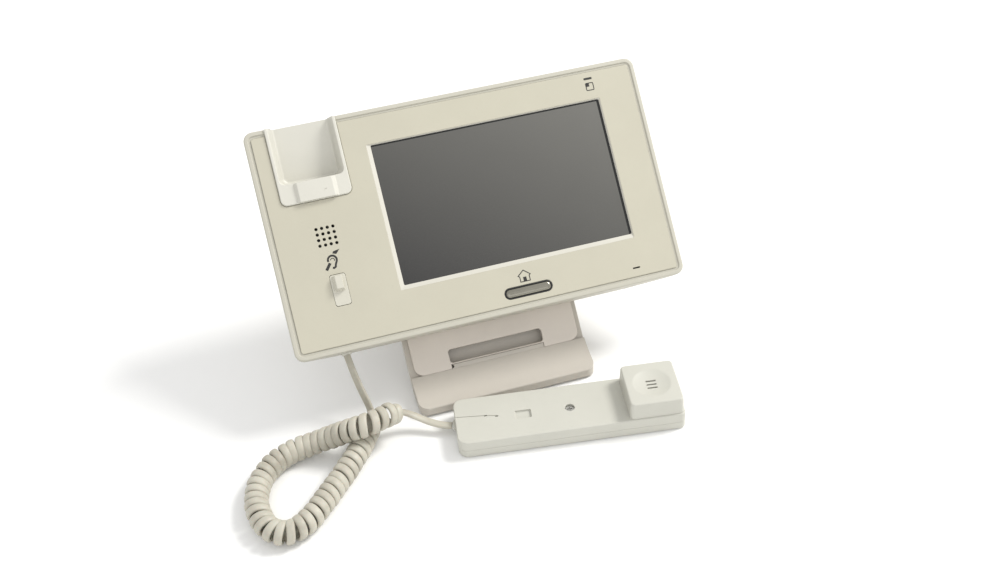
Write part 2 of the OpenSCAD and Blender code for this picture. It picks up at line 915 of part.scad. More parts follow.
// Outline seen from above: soft corners at the mouth end, tighter ones at the ear end
module hs_outline(inset) {
    translate([hs_len / 3, 0])
        round_rect(hs_len * 2 / 3 - 2 * inset, hs_w - 2 * inset, 6 - inset);
    translate([hs_len * 2 / 3, 0])
        round_rect(hs_len * 2 / 3 - 2 * inset, hs_w - 2 * inset, 3.5 - inset);
}

module hs_slab(inset, bottom, top) {
    translate([0, 0, bottom])
        linear_extrude(top - bottom)
            hs_outline(inset);
}

module cord_entry_cut() {
    block([-1, hs_wall + 1], [cord_entry_y - opening_half[0], cord_entry_y + opening_half[0]],
        [hs_split - opening_half[1], hs_split + opening_half[1]]);
}

module handset_front_shell() {
    top = hs_h + ear_h;
    ball_r = (dish_r * dish_r + dish_d * dish_d) / (2 * dish_d);
    color(soft_white)
        on_handset()
            difference() {
                union() {
                    difference() {
                        union() {
                            hs_slab(0, hs_split, hs_h);
                            translate([ear_x + (ear_len - ear_ledge) / 2, 0, hs_h - eps])
                                linear_extrude(ear_h + eps)
                                    round_rect(ear_len - ear_ledge, hs_w - 2 * ear_ledge, 2.5);
                        }
                        hs_slab(hs_wall, hs_split - 1, hs_h - hs_wall);
                        translate([ear_x + (ear_len - ear_ledge) / 2, 0, hs_split])
                            linear_extrude(top - hs_split - 4.2)
                                round_rect(ear_len - ear_ledge - 4, hs_w - 2 * ear_ledge - 4, 1);
                    }
                    translate([hook_hole[0], hook_hole[1], 0])
                        block([-7, 7], [-5.5, 5.5], [hs_h - hook_hole_d - 2, hs_h - 1]);
                    translate([hs_screw[0], hs_screw[1], hs_split])
                        cylinder(r = 4.6, h = hs_h - hs_split - 1);
                }
                // Pocket for the hook lever's peg
                translate([hook_hole[0], hook_hole[1], 0])
                    block([-5.2, 5.2], [-3.5, 3.5], [hs_h - hook_hole_d, hs_h + 1]);
                // Screw hole with its counterbore
                translate([hs_screw[0], hs_screw[1], 0]) {
                    cylinder(r = 1.6, h = 30);
                    translate([0, 0, hs_h - hs_screw_drop])
                        cylinder(r = 3.1, h = 10);
                }
                // Ear dish and its sound slots
                translate([ear_centre_x, 0, top - dish_d + ball_r])
                    sphere(ball_r, $fn = 96);
                for (y = [-3, 0, 3])
                    translate([ear_centre_x, y, top - 6])
                        linear_extrude(8)
                            round_rect(6.4, 1.1, 0.5);
                for (p = [[19.6, 2.1], [26.6, 0.5]])
                    translate([p[0], p[1], hs_h - hs_wall - 1])
                        linear_extrude(hs_wall + 2)
                            round_rect(2.2, 1.1, 0.5);
                cord_entry_cut();
            }
}

module handset_back_shell() {
    color(soft_white)
        on_handset()
            difference() {
                union() {
                    difference() {
                        hs_slab(0, 0, hs_split);
                        hs_slab(hs_wall, hs_wall, hs_split + 1);
                    }
                    translate([hs_screw[0], hs_screw[1], 1])
                        cylinder(r = 4, h = hs_split - 1);
                }
                translate([hs_screw[0], hs_screw[1], 1.6])
                    cylinder(r = screw_r, h = 10);
                cord_entry_cut();
            }
}

module earpiece_speaker() {
    color(black)
        on_handset()
            translate([ear_centre_x, 0, 0]) {
                translate([0, 0, 15])
                    cylinder(r = 13, h = 5.8);
                translate([0, 0, 12])
                    cylinder(r = 8, h = 3 + eps);
            }
}

module handset_microphone() {
    color(black)
        on_handset()
            translate([22, 1, 6.4])
                cylinder(r = 4.9, h = 4.6);
}

module handset_weight() {
    color(steel)
        on_handset()
            block([84, 106], [-14, 14], [2, 8]);
}

module handset_screw() {
    color(steel)
        on_handset()
            translate([hs_screw[0], hs_screw[1], hs_h - hs_screw_drop])
                rotate([180, 0, 0])
                    screw(2.7, hs_screw_head_h, screw_r, 7.4);
}

module handset_grommet() {
    color(soft_white)
        on_handset() {
            block([-1.5, hs_wall + 0.1],
                [cord_entry_y - gland_half[0], cord_entry_y + gland_half[0]],
                [hs_split - gland_half[1], hs_split + gland_half[1]]);
            block([hs_wall + 0.1, hs_wall + 2],
                [cord_entry_y - flange_half[0], cord_entry_y + flange_half[0]],
                [hs_split - flange_half[1], hs_split + flange_half[1]]);
        }
}

// ---- Cord ----

// Smooth curve through a route's points, with n steps between neighbours
function curve_point(a, b, c, d, t) = 0.5 * (2 * b + (c - a) * t
    + (2 * a - 5 * b + 4 * c - d) * t * t + (3 * b - a - 3 * c + d) * t * t * t);
function smooth_route(p, n) = [for (i = [0:len(p) - 2]) for (k = [0:n - 1])
    curve_point(p[max(i - 1, 0)], p[i], p[i + 1], p[min(i + 2, len(p) - 1)], k / n),
    p[len(p) - 1]];
function unit(v) = v / norm(v);
function heading(p, i) = unit(p[min(i + 1, len(p) - 1)] - p[max(i - 1, 0)]);
function ring(centre, along, w, h, sides) =
    let (across = unit(cross(along, [0, 0, 1])), over = cross(across, along))
    [for (k = [0:sides - 1])
        centre + across * cos(360 * k / sides) * w / 2 + over * sin(360 * k / sides) * h / 2];

// Closed tube with an oval section, swept along a route
module swept_tube(route, n, w, h, sides) {
    path = smooth_route(route, n);
    last = len(path) - 1;
    points = [for (i = [0:last]) each ring(path[i], heading(path, i), w, h, sides)];
    walls = [for (i = [0:last - 1]) for (k = [0:sides - 1])
        let (a = i * sides + k, b = i * sides + (k + 1) % sides)
        each [[a, b, b + sides], [a, b + sides, a + sides]]];
    start_cap = [for (k = [1:sides - 2]) [0, k + 1, k]];
    end_cap = [for (k = [1:sides - 2]) [last * sides, last * sides + k, last * sides + k + 1]];
    polyhedron(points, concat(walls, start_cap, end_cap));
}

module cord_tail_monitor() {
    color(cord_white)
        swept_tube(monitor_tail_route, 2, cord_w, cord_t, 8);
}

module cord_coil() {
    color(cord_white)
        swept_tube(coil_route, 2, coil_d, coil_d, 12);
}

module cord_tail_handset() {
    color(cord_white)
        swept_tube(handset_tail_route, 2, cord_w, cord_t, 8);
}

front_frame();
front_plate();
handset_cradle();
touch_glass();
glass_gasket();
lcd_module();
lcd_chassis();
main_board();
audio_board();
status_led_lens();
monitor_speaker();
monitor_microphone();
home_button();
home_switch();
hook_lever();
hook_lever_pin();
hook_spring();
hook_switch();
rear_housing();
terminal_block();
mounting_bracket();
bracket_screws();
housing_screws();
cord_gland();
stand_base();
stand_plate();
stand_screws();
front_foot_pad();
rear_leg();
leg_pin();
leg_foot_strip();
handset_front_shell();
handset_back_shell();
earpiece_speaker();
handset_microphone();
handset_weight();
handset_screw();
handset_grommet();
cord_tail_monitor();
cord_coil();
cord_tail_handset();
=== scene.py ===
"""Looks of the desk video intercom station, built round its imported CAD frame.

Each piece is drawn in its own part's millimetres, on the monitor's face, on the rear leg
or on the handset, and is then placed in the object's frame, in metres.
"""

import json
import math

import bmesh
import bpy
import numpy as np
from mathutils import Matrix, Vector


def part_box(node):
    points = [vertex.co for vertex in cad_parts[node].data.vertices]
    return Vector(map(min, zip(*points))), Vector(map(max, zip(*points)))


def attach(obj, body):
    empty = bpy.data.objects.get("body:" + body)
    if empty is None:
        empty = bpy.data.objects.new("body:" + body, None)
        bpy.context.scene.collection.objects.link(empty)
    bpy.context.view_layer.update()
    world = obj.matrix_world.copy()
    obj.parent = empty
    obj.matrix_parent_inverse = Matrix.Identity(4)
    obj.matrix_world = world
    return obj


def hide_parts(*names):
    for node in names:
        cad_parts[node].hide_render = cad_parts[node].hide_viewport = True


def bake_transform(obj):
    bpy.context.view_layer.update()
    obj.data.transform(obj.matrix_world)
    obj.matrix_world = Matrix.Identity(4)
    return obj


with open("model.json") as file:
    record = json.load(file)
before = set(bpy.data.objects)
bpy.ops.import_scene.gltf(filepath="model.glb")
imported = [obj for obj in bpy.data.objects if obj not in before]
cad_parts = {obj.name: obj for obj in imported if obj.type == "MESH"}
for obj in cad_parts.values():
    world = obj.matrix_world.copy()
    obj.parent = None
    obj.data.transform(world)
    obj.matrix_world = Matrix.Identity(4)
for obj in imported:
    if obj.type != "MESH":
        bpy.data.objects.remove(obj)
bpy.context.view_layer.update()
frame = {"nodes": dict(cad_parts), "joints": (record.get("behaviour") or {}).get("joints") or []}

MM = 0.001
JOINTS = {joint["name"]: joint for joint in frame["joints"]}

# Driving dimensions of the design, in millimetres
MONITOR_W = 260
MONITOR_H = 148
MONITOR_T = 31
CORNER_R = 6
RIM_W = 2.8
GROOVE_W = 1.6
GROOVE_D = 0.8
FRAME_D = 9
PLATE_D = 2.5
SCREEN = (24, 4.8, 154, 92)
CRADLE_X = -93.5
CRADLE_W = 45.4
CRADLE_BOTTOM = 23.4
CRADLE_DEPTH = 16
CRADLE_PROUD = 1.2
POCKET_W = 41
POCKET_D = 13
LIP_TOP = 36.8
LEVER = (-92.8, -35)
LEVER_PIN = (-43, -3)
BUTTON = (24.5, -61.9)
BUTTON_W = 30
BUTTON_H = 5.2
LENS = (96.9, 65.2)
MICROPHONE = (98.3, -63.8)
GLAND = (-98, -14)
BOSSES = [(-84, -68), (88, -68), (-62, 62), (84, 62)]
BRACKET_Y = -20
WINDOW = (60, 30)
STAND_W = 120
STAND_PLATE_W = 113.2
STAND_PLATE_T = 3
STAND_SHELL_T = 7
STAND_SHELL_TOP = 26
CREASE = 99.5
LEG_LEAN = math.radians(8)
LEG_W = 90
LEG_T = 5
LEG_HINGE_Y = 10
LEG_BARREL_R = 5
LEG_PIN_R = 2
HS_LEN = 145
HS_W = 39.6
HS_H = 13.2
HS_SPLIT = 6
EAR_LEN = 36
EAR_H = 12
HANDSET_AT = (-42.5, -35.5, 0)
HANDSET_TURN = math.radians(-8.8)
SCREW_X = 73.5
CLEARANCE = 0.15


# ---- Frames ----

def placed(origin, tilt=0.0, turn=0.0):
    """Matrix from a part's own millimetres to the object's metres."""
    turned = Matrix.Rotation(turn, 4, "Z") @ Matrix.Rotation(tilt, 4, "X")
    return Matrix.Translation(Vector(origin)) @ turned @ Matrix.Scale(MM, 4)


def face_frame():
    """The monitor's own frame: origin at the centre of its face, +Y up the face, +Z outwards."""
    outwards = -Vector(JOINTS["home_press"]["axis"])
    tilt = math.atan2(-outwards.y, outwards.z)
    low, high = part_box("front_frame")
    middle = (low + high) / 2
    half_depth = FRAME_D / 2 * MM
    centre = Vector((0, middle.y - half_depth * math.sin(tilt),
                     middle.z + half_depth * math.cos(tilt)))
    return placed(centre, tilt), tilt


FACE, FACE_TILT = face_frame()
LEG = placed(JOINTS["leg_fold"]["pos_m"], LEG_LEAN)
LEG_LEN = JOINTS["leg_fold"]["pos_m"][2] / MM / math.cos(LEG_LEAN)
HANDSET = placed(Vector(HANDSET_AT) * MM, turn=HANDSET_TURN)
OBJECT = Matrix.Scale(MM, 4)


def face_to_side(y, z):
    """A point along and out of the face, as the object's Y and Z in millimetres."""
    point = FACE @ Vector((0, y, z)) / MM
    return point.y, point.z


# ---- Camera, at the photograph's viewing angle ----

def make_camera():
    heading = math.radians(-14.15)
    pitch = math.radians(42.6)
    roll = math.radians(-3.85)
    data = bpy.data.cameras.new("camera")
    data.sensor_width = 36
    data.lens = 43.2
    data.shift_x = -0.02
    data.shift_y = 0.0635
    data.clip_start = 0.02
    camera = bpy.data.objects.new("camera", data)
    bpy.context.collection.objects.link(camera)
    turned = Matrix.Rotation(heading, 4, "Z") @ Matrix.Rotation(math.pi / 2 - pitch, 4, "X")
    place = Vector((-0.1287, -0.5587, 0.5615))
    camera.matrix_world = Matrix.Translation(place) @ turned @ Matrix.Rotation(roll, 4, "Z")
    bpy.context.scene.camera = camera


make_camera()


# ---- Materials ----

def tone(red, green, blue):
    """A screen colour, 0 to 255, as the linear colour that the shader takes."""
    def linear(value):
        share = value / 255
        return share / 12.92 if share <= 0.04045 else ((share + 0.055) / 1.055) ** 2.4
    return linear(red), linear(green), linear(blue), 1


class Nodes:
    """A material's node tree, with short calls for the nodes that the surfaces share."""

    def __init__(self, name):
        self.material = bpy.data.materials.new(name)
        self.material.use_nodes = True
        self.tree = self.material.node_tree
        self.shader = self.tree.nodes["Principled BSDF"]
        self.place = self.tree.nodes.new("ShaderNodeTexCoord").outputs["Object"]

    def link(self, output, target):
        self.tree.links.new(output, target)

    def noise(self, scale, detail=3.0, roughness=0.5):
        node = self.tree.nodes.new("ShaderNodeTexNoise")
        node.inputs["Scale"].default_value = scale
        node.inputs["Detail"].default_value = detail
        node.inputs["Roughness"].default_value = roughness
        self.link(self.place, node.inputs["Vector"])
        return node.outputs["Fac"]

    def stretched_noise(self, scale, stretch, detail=2.0):
        """Noise drawn out along one axis, for brushed or rolled surfaces."""
        mapping = self.tree.nodes.new("ShaderNodeMapping")
        mapping.inputs["Scale"].default_value = stretch
        self.link(self.place, mapping.inputs["Vector"])
        node = self.tree.nodes.new("ShaderNodeTexNoise")
        node.inputs["Scale"].default_value = scale
        node.inputs["Detail"].default_value = detail
        self.link(mapping.outputs["Vector"], node.inputs["Vector"])
        return node.outputs["Fac"]

    def ramp(self, source, low, high, low_value, high_value):
        node = self.tree.nodes.new("ShaderNodeMapRange")
        node.inputs["From Min"].default_value = low
        node.inputs["From Max"].default_value = high
        node.inputs["To Min"].default_value = low_value
        node.inputs["To Max"].default_value = high_value
        self.link(source, node.inputs["Value"])
        return node.outputs["Result"]

    def mix(self, share, first, second):
        """Colour between two, each a fixed colour or another node's output."""
        node = self.tree.nodes.new("ShaderNodeMix")
        node.data_type = "RGBA"
        self.link(share, node.inputs["Factor"])
        for socket, colour in ((node.inputs[6], first), (node.inputs[7], second)):
            if isinstance(colour, bpy.types.NodeSocket):
                self.link(colour, socket)
            else:
                socket.default_value = colour
        return node.outputs[2]

    def bump(self, height, strength, distance):
        node = self.tree.nodes.new("ShaderNodeBump")
        node.inputs["Strength"].default_value = strength
        node.inputs["Distance"].default_value = distance
        self.link(height, node.inputs["Height"])
        self.link(node.outputs["Normal"], self.shader.inputs["Normal"])

    def colour(self, output):
        self.link(output, self.shader.inputs["Base Color"])

    def roughness(self, output):
        self.link(output, self.shader.inputs["Roughness"])

    def set(self, **values):
        for name, value in values.items():
            self.shader.inputs[name.replace("_", " ")].default_value = value


def darker(colour, share):
    return colour[0] * share, colour[1] * share, colour[2] * share, 1


def plastic(name, colour, rough=0.42, grain=1500, grain_depth=0.00003, stain=0.93):
    """Moulded plastic: faint cloudy tone, fine eroded grain, handled patches a little glossier."""
    nodes = Nodes(name)
    cloud = nodes.ramp(nodes.noise(26, 4, 0.6), 0.35, 0.7, 0, 1)
    speck = nodes.ramp(nodes.noise(420, 2, 0.6), 0.66, 0.74, 0, 0.35)
    aged = nodes.mix(cloud, colour, darker(colour, stain))
    nodes.colour(nodes.mix(speck, aged, darker(colour, stain - 0.05)))
    nodes.roughness(nodes.ramp(nodes.noise(60, 5, 0.65), 0.3, 0.7, rough - 0.07, rough + 0.08))
    nodes.bump(nodes.noise(grain, 2, 0.5), 0.25, grain_depth)
    nodes.set(IOR=1.47)
    return nodes.material


def metal(name, colour, rough, stretch=(1, 1, 1), scale=900):
    """Plated or rolled metal, with fine lines along one axis and a few duller patches."""
    nodes = Nodes(name)
    lines = nodes.stretched_noise(scale, stretch, 3)
    patches = nodes.ramp(nodes.noise(70, 4, 0.6), 0.35, 0.7, 0, 1)
    nodes.colour(nodes.mix(patches, colour, darker(colour, 0.86)))
    nodes.roughness(nodes.ramp(lines, 0.3, 0.7, rough * 0.7, rough * 1.35))
    nodes.bump(lines, 0.2, 0.00002)
    nodes.set(Metallic=1.0)
    return nodes.material


def rubber(name, colour):
    nodes = Nodes(name)
    dust = nodes.ramp(nodes.noise(140, 5, 0.7), 0.45, 0.75, 0, 1)
    nodes.colour(nodes.mix(dust, colour, tone(96, 94, 90)))
    nodes.roughness(nodes.ramp(nodes.noise(300, 3), 0.3, 0.7, 0.7, 0.92))
    nodes.bump(nodes.noise(1200, 3, 0.6), 0.5, 0.00008)
    return nodes.material


def circuit_board(name):
    """Solder resist with copper runs showing through as a finer, lighter pattern."""
    nodes = Nodes(name)
    tracks = nodes.tree.nodes.new("ShaderNodeTexVoronoi")
    tracks.feature = "DISTANCE_TO_EDGE"
    tracks.distance = "MANHATTAN"
    tracks.inputs["Scale"].default_value = 260
    nodes.link(nodes.place, tracks.inputs["Vector"])
    run = nodes.ramp(tracks.outputs["Distance"], 0.04, 0.1, 1, 0)
    nodes.colour(nodes.mix(run, tone(22, 84, 52), tone(62, 132, 84)))
    nodes.roughness(nodes.ramp(nodes.noise(90, 3), 0.3, 0.7, 0.22, 0.4))
    nodes.bump(run, 0.4, 0.00004)
    return nodes.material


def dark_glass(name):
    """Cover glass of the unlit screen: dark, smooth, with a few wiped smears."""
    nodes = Nodes(name)
    smear = nodes.stretched_noise(30, (1, 3, 3), 4)
    nodes.colour(nodes.mix(smear, tone(14, 14, 14), tone(20, 20, 20)))
    nodes.roughness(nodes.ramp(smear, 0.35, 0.75, 0.12, 0.24))
    nodes.set(IOR=1.5)
    return nodes.material


def display_surface(name):
    """Matt anti-glare surface of the unlit display, with a painted reflection that lightens it
    towards its upper right.
    """
    nodes = Nodes(name)
    split = nodes.tree.nodes.new("ShaderNodeSeparateXYZ")
    nodes.link(nodes.place, split.inputs["Vector"])
    # The across and upwards ramps rise towards the upper right: a painted reflection, not a
    # property of the screen.
    across = nodes.ramp(split.outputs["X"], -0.06, 0.11, 0, 0.55)
    upwards = nodes.ramp(split.outputs["Z"], 0.075, 0.145, 0, 0.45)
    painted_reflection_share = nodes.tree.nodes.new("ShaderNodeMath")
    nodes.link(across, painted_reflection_share.inputs[0])
    nodes.link(upwards, painted_reflection_share.inputs[1])
    film_and_painted_reflection = nodes.mix(painted_reflection_share.outputs[0], tone(26, 25, 26), tone(104, 103, 98))
    sparkle = nodes.ramp(nodes.noise(2400, 2, 0.7), 0.4, 0.7, 0, 0.25)
    nodes.colour(nodes.mix(sparkle, film_and_painted_reflection, tone(96, 95, 91)))
    nodes.roughness(nodes.ramp(nodes.noise(45, 5, 0.6), 0.3, 0.7, 0.42, 0.52))
    nodes.bump(nodes.noise(2600, 2, 0.6), 0.15, 0.00001)
    return nodes.material


def printed_ink(name):
    nodes = Nodes(name)
    worn = nodes.ramp(nodes.noise(900, 3, 0.6), 0.5, 0.8, 0, 0.5)
    nodes.colour(nodes.mix(worn, tone(34, 33, 32), tone(70, 67, 63)))
    nodes.roughness(nodes.ramp(nodes.noise(500, 2), 0.3, 0.7, 0.45, 0.65))
    return nodes.material


def smoked_lens(name):
    nodes = Nodes(name)
    nodes.colour(nodes.mix(nodes.noise(300, 2), tone(40, 41, 40), tone(70, 71, 69)))
    nodes.roughness(nodes.ramp(nodes.noise(200, 2), 0.3, 0.7, 0.15, 0.28))
    return nodes.material


def cord_plastic(name):
    """Soft vinyl of the curly cord, greyer where fingers and the desk have rubbed it."""
    nodes = Nodes(name)
    grime = nodes.ramp(nodes.noise(55, 5, 0.65), 0.42, 0.72, 0, 1)
    clean = tone(187, 183, 169)
    nodes.colour(nodes.mix(grime, clean, tone(160, 155, 141)))
    nodes.roughness(nodes.ramp(nodes.noise(160, 4), 0.3, 0.7, 0.42, 0.62))
    nodes.bump(nodes.noise(1100, 3, 0.6), 0.3, 0.00004)
    nodes.set(Subsurface_Weight=0.04, Subsurface_Scale=0.002)
    return nodes.material


CREAM = plastic("cream_panel", tone(187, 183, 166), 0.4, 1700, 0.00002, 0.965)
WHITE = plastic("warm_white_shell", tone(204, 202, 192), 0.4, 1500, 0.00003, 0.965)
# Panel plastic made lighter for the screen's chamfer: a painted highlight where its slopes catch
# the light.
CHAMFER_PAINTED_HIGHLIGHT = plastic("surround_painted_highlight", tone(200, 197, 186), 0.35, 1500, 0.00002, 0.98)
LEVER_SHELL = plastic("lever_shell", tone(199, 196, 183), 0.4, 1500, 0.00003, 0.965)
RIM = plastic("rim_shell", tone(187, 184, 171), 0.42, 1500, 0.00003, 0.965)
HANDSET_WHITE = plastic("handset_shell", tone(194, 193, 183), 0.36, 1300, 0.00003, 0.965)
STAND = plastic("stand_shell", tone(190, 184, 174), 0.45, 1200, 0.00004, 0.95)
# Lighter copy of the stand plastic for the back plate: painted light that cancels the shade under
# the monitor's overhang.
STAND_PLATE_PAINTED_LIGHT = plastic("stand_plate_painted_light", tone(212, 204, 194), 0.45, 1200, 0.00004, 0.95)
HOUSING = plastic("housing_shell", tone(190, 186, 174), 0.5, 1100, 0.00006, 0.95)
BLACK = plastic("black_plastic", tone(34, 34, 35), 0.45, 1300, 0.00003, 0.8)
CHROME = metal("chrome_plating", tone(148, 145, 134), 0.2, (1, 6, 6))
STEEL = metal("zinc_plated_steel", tone(196, 195, 190), 0.34, (1, 5, 5))
RUBBER = rubber("dark_rubber", tone(44, 43, 42))
BOARD = circuit_board("circuit_board_resist")
GLASS = dark_glass("cover_glass")
DISPLAY = display_surface("display_film")
INK = printed_ink("printed_ink")
LENS_SMOKE = smoked_lens("smoked_lens")
CORD = cord_plastic("cord_vinyl")


# ---- Outlines and solids, in a part's own millimetres ----

def rounded(width, height, radius, centre=(0, 0), steps=6):
    """Anticlockwise outline of a rectangle with round corners."""
    points = []
    for corner in range(4):
        side_x = 1 if corner in (0, 3) else -1
        side_y = 1 if corner in (0, 1) else -1
        middle_x = centre[0] + side_x * (width / 2 - radius)
        middle_y = centre[1] + side_y * (height / 2 - radius)
        for step in range(steps + 1):
            angle = math.pi / 2 * (corner + step / steps)
            points.append((middle_x + radius * math.cos(angle),
                           middle_y + radius * math.sin(angle)))
    return points


def circle(radius, centre=(0, 0), steps=24):
    turns = [2 * math.pi * step / steps for step in range(steps)]
    return [(centre[0] + radius * math.cos(turn), centre[1] + radius * math.sin(turn))
            for turn in turns]


def corner_arc(centre, radius, start, end, steps=6):
    """Points along an arc, its angles in degrees."""
    angles = [math.radians(start + (end - start) * step / steps) for step in range(steps + 1)]
    return [(centre[0] + radius * math.cos(angle), centre[1] + radius * math.sin(angle))
            for angle in angles]


def at_height(outline, z):
    return [Vector((x, y, z)) for x, y in outline]


def quarter(steps, whole=90):
    """Sine and cosine at even steps from 0 to a whole angle in degrees."""
    turns = [math.radians(whole) * step / steps for step in range(steps + 1)]
    return [(math.sin(turn), math.cos(turn)) for turn in turns]


def object_of(name, build):
    """An object from a bmesh, its faces turned outwards."""
    bmesh.ops.remove_doubles(build, verts=build.verts, dist=1e-5)
    bmesh.ops.recalc_face_normals(build, faces=build.faces)
    mesh = bpy.data.meshes.new(name)
    build.to_mesh(mesh)
    build.free()
    obj = bpy.data.objects.new(name, mesh)
    bpy.context.collection.objects.link(obj)
    return obj


def loft(name, loops, capped=True, closed=False):
    """Skin over loops of equally many points. A closed loft joins its last loop to its first."""
    build = bmesh.new()
    rings = [[build.verts.new(point) for point in loop] for loop in loops]
    count = len(loops[0])
    pairs = list(zip(rings, rings[1:]))
    if closed:
        pairs.append((rings[-1], rings[0]))
    for first, second in pairs:
        for step in range(count):
            after = (step + 1) % count
            build.faces.new((first[step], first[after], second[after], second[step]))
    if capped and not closed:
        build.faces.new(rings[0])
        build.faces.new(rings[-1])
    return object_of(name, build)


def foot_loops(outline, height, edge, steps):
    """Loops of a rounded lower rim. outline(inset) gives the border, drawn in."""
    if not edge:
        return [at_height(outline(0), height)]
    return [at_height(outline(edge * (1 - sine)), height + edge * (1 - cosine))
            for sine, cosine in quarter(steps)]


def rim_loops(outline, height, edge, steps, way=1):
    """Loops of a rounded upper rim: drawn in, or flared where way is -1."""
    return [at_height(outline(way * edge * (1 - cosine)), height - edge * (1 - sine))
            for sine, cosine in quarter(steps)]


def slab(name, outline, bottom, top, low_edge=0.0, high_edge=0.5, steps=4):
    """Solid between two heights with rounded rims."""
    return loft(name, foot_loops(outline, bottom, low_edge, steps)
                + rim_loops(outline, top, high_edge, steps))


def hollow(name, outline, floor, top, floor_edge=0.0, rim_edge=0.3, steps=4):
    """Cutter for a pocket: filleted round its floor, and flared to round its rim."""
    return loft(name, foot_loops(outline, floor, floor_edge, steps)
                + rim_loops(outline, top, rim_edge, steps, -1)
                + [at_height(outline(-rim_edge), top + 2)])


def prism(name, outline, bottom, top):
    return loft(name, [at_height(outline, bottom), at_height(outline, top)])


def box(name, x, y, z):
    outline = [(x[0], y[0]), (x[1], y[0]), (x[1], y[1]), (x[0], y[1])]
    return prism(name, outline, z[0], z[1])


def along_x(name, outline, start, end):
    """Prism along X, from an outline of Y and Z."""
    loops = [[Vector((x, y, z)) for y, z in outline] for x in (start, end)]
    return loft(name, loops)


def x_rod(name, radius, start, end, centre=(0, 0), steps=32):
    return along_x(name, circle(radius, centre, steps), start, end)


def settle(obj):
    """Applies the object's modifiers to its mesh."""
    graph = bpy.context.evaluated_depsgraph_get()
    mesh = bpy.data.meshes.new_from_object(obj.evaluated_get(graph))
    obj.modifiers.clear()
    obj.data = mesh
    return obj


def combine(base, others, operation):
    """Joins the others to the base, or cuts them from it, and removes them."""
    for other in others:
        modifier = base.modifiers.new("combine", "BOOLEAN")
        modifier.operation = operation
        modifier.solver = "EXACT"
        modifier.object = other
    settle(base)
    for other in others:
        bpy.data.objects.remove(other)
    return base


def join(base, *others):
    return combine(base, others, "UNION")


def cut(base, *others):
    return combine(base, others, "DIFFERENCE")


def soften(obj, width, weight=None, segments=3, angle=30):
    """Rounds sharp edges. weight gives each edge's share of the width from its two ends."""
    build = bmesh.new()
    build.from_mesh(obj.data)
    bmesh.ops.remove_doubles(build, verts=build.verts, dist=2e-3)
    bmesh.ops.dissolve_degenerate(build, edges=build.edges, dist=1e-3)
    bmesh.ops.dissolve_limit(build, angle_limit=math.radians(0.4), verts=build.verts,
                             edges=build.edges)
    layer = build.edges.layers.float.new("bevel_weight_edge")
    for edge in build.edges:
        sharp = edge.is_manifold and edge.calc_face_angle(0) > math.radians(angle)
        share = weight(edge.verts[0].co, edge.verts[1].co) if weight else 1.0
        edge[layer] = share if sharp else 0.0
    build.to_mesh(obj.data)
    build.free()
    modifier = obj.modifiers.new("bevel", "BEVEL")
    modifier.limit_method = "WEIGHT"
    modifier.width = width
    modifier.segments = segments
    modifier.use_clamp_overlap = True
    modifier.miter_outer = "MITER_ARC"
    settle(obj)
    return obj


def smooth(obj, angle=28):
    obj.data.shade_smooth()
    obj.data.set_sharp_from_angle(angle=math.radians(angle))
    modifier = obj.modifiers.new("normals", "WEIGHTED_NORMAL")
    modifier.keep_sharp = True
    modifier.weight = 60
    return settle(obj)


def plate(name, outlines, bottom, top, edge):
    """Flat plate with rounded edges. The first outline is its border, and the rest are holes."""
    curve = bpy.data.curves.new(name, "CURVE")
    curve.dimensions = "2D"
    curve.fill_mode = "BOTH"
    for number, outline in enumerate(outlines):
        points = outline if number == 0 else outline[::-1]
        spline = curve.splines.new("POLY")
        spline.points.add(len(points) - 1)
        spline.use_cyclic_u = True
        for point, (x, y) in zip(spline.points, points):
            point.co = (x, y, 0, 1)
    curve.extrude = (top - bottom) / 2 - edge
    curve.bevel_depth = edge
    curve.bevel_resolution = 2
    curve.offset = -edge
    source = bpy.data.objects.new(name, curve)
    bpy.context.collection.objects.link(source)
    graph = bpy.context.evaluated_depsgraph_get()
    build = bmesh.new()
    build.from_mesh(source.evaluated_get(graph).to_mesh())
    bpy.data.objects.remove(source)
    bmesh.ops.translate(build, vec=(0, 0, (top + bottom) / 2), verts=build.verts)
    return object_of(name, build)


def joined(name, pieces):
    """One object from several, without cutting them into each other."""
    build = bmesh.new()
    for piece in pieces:
        build.from_mesh(piece.data)
    for piece in pieces:
        bpy.data.objects.remove(piece)
    return object_of(name, build)


def fit(obj, place, body, material, slot, *nodes):
    """Puts a finished piece in its place, on its body, in place of its CAD nodes."""
    obj.data.transform(place)
    obj.data.materials.clear()
    obj.data.materials.append(material)
    obj.data.validate()
    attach(obj, body)
    if nodes:
        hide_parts(*nodes)
    return obj


# ---- Cord ----

CORD_W = 5.2
CORD_T = 2.9
COIL_D = 15.5
COIL_PITCH = 5.7
POINTS_PER_TURN = 26
RUN_IN_TURNS = 1.1
COIL_CLEARANCE = 0.15
SLACK = ((0.018, 1.7, 0), (0.012, 4.3, 1))
MOST_SLACK = 1.02
DRIFT = ((0.05, 0.9, 0), (0.03, 2.3, 0))
SHUFFLE = ((0.15, 2.9, 0.5),)
TAIL_TWIST = math.radians(58)
AXIS_POINTS = 200
AXIS_EASING = 26
WIDTH_EASING = 12
COIL_ROUTE = [
    (-79, -20, 20), (-87, -27, 23.5), (-97, -30, 24.2), (-107, -28, 21.5),
    (-119, -23, 14.5), (-131, -20, 9.5), (-142, -20, 8), (-152, -23, 8), (-161, -30, 8),
    (-168, -39, 8), (-172, -50, 8), (-173, -61, 8), (-171, -72, 8), (-167, -81, 8),
    (-160, -86, 8), (-152, -85, 8), (-143, -79, 8), (-134, -69, 8), (-126, -60, 8),
    (-118, -51, 8), (-110, -41, 8), (-104, -33, 8), (-99, -25, 8), (-94, -16, 8),
    (-90, -8, 8)]
COIL_START = (-74.5, -17.3, 17)     # near the end of the handset's straight stretch
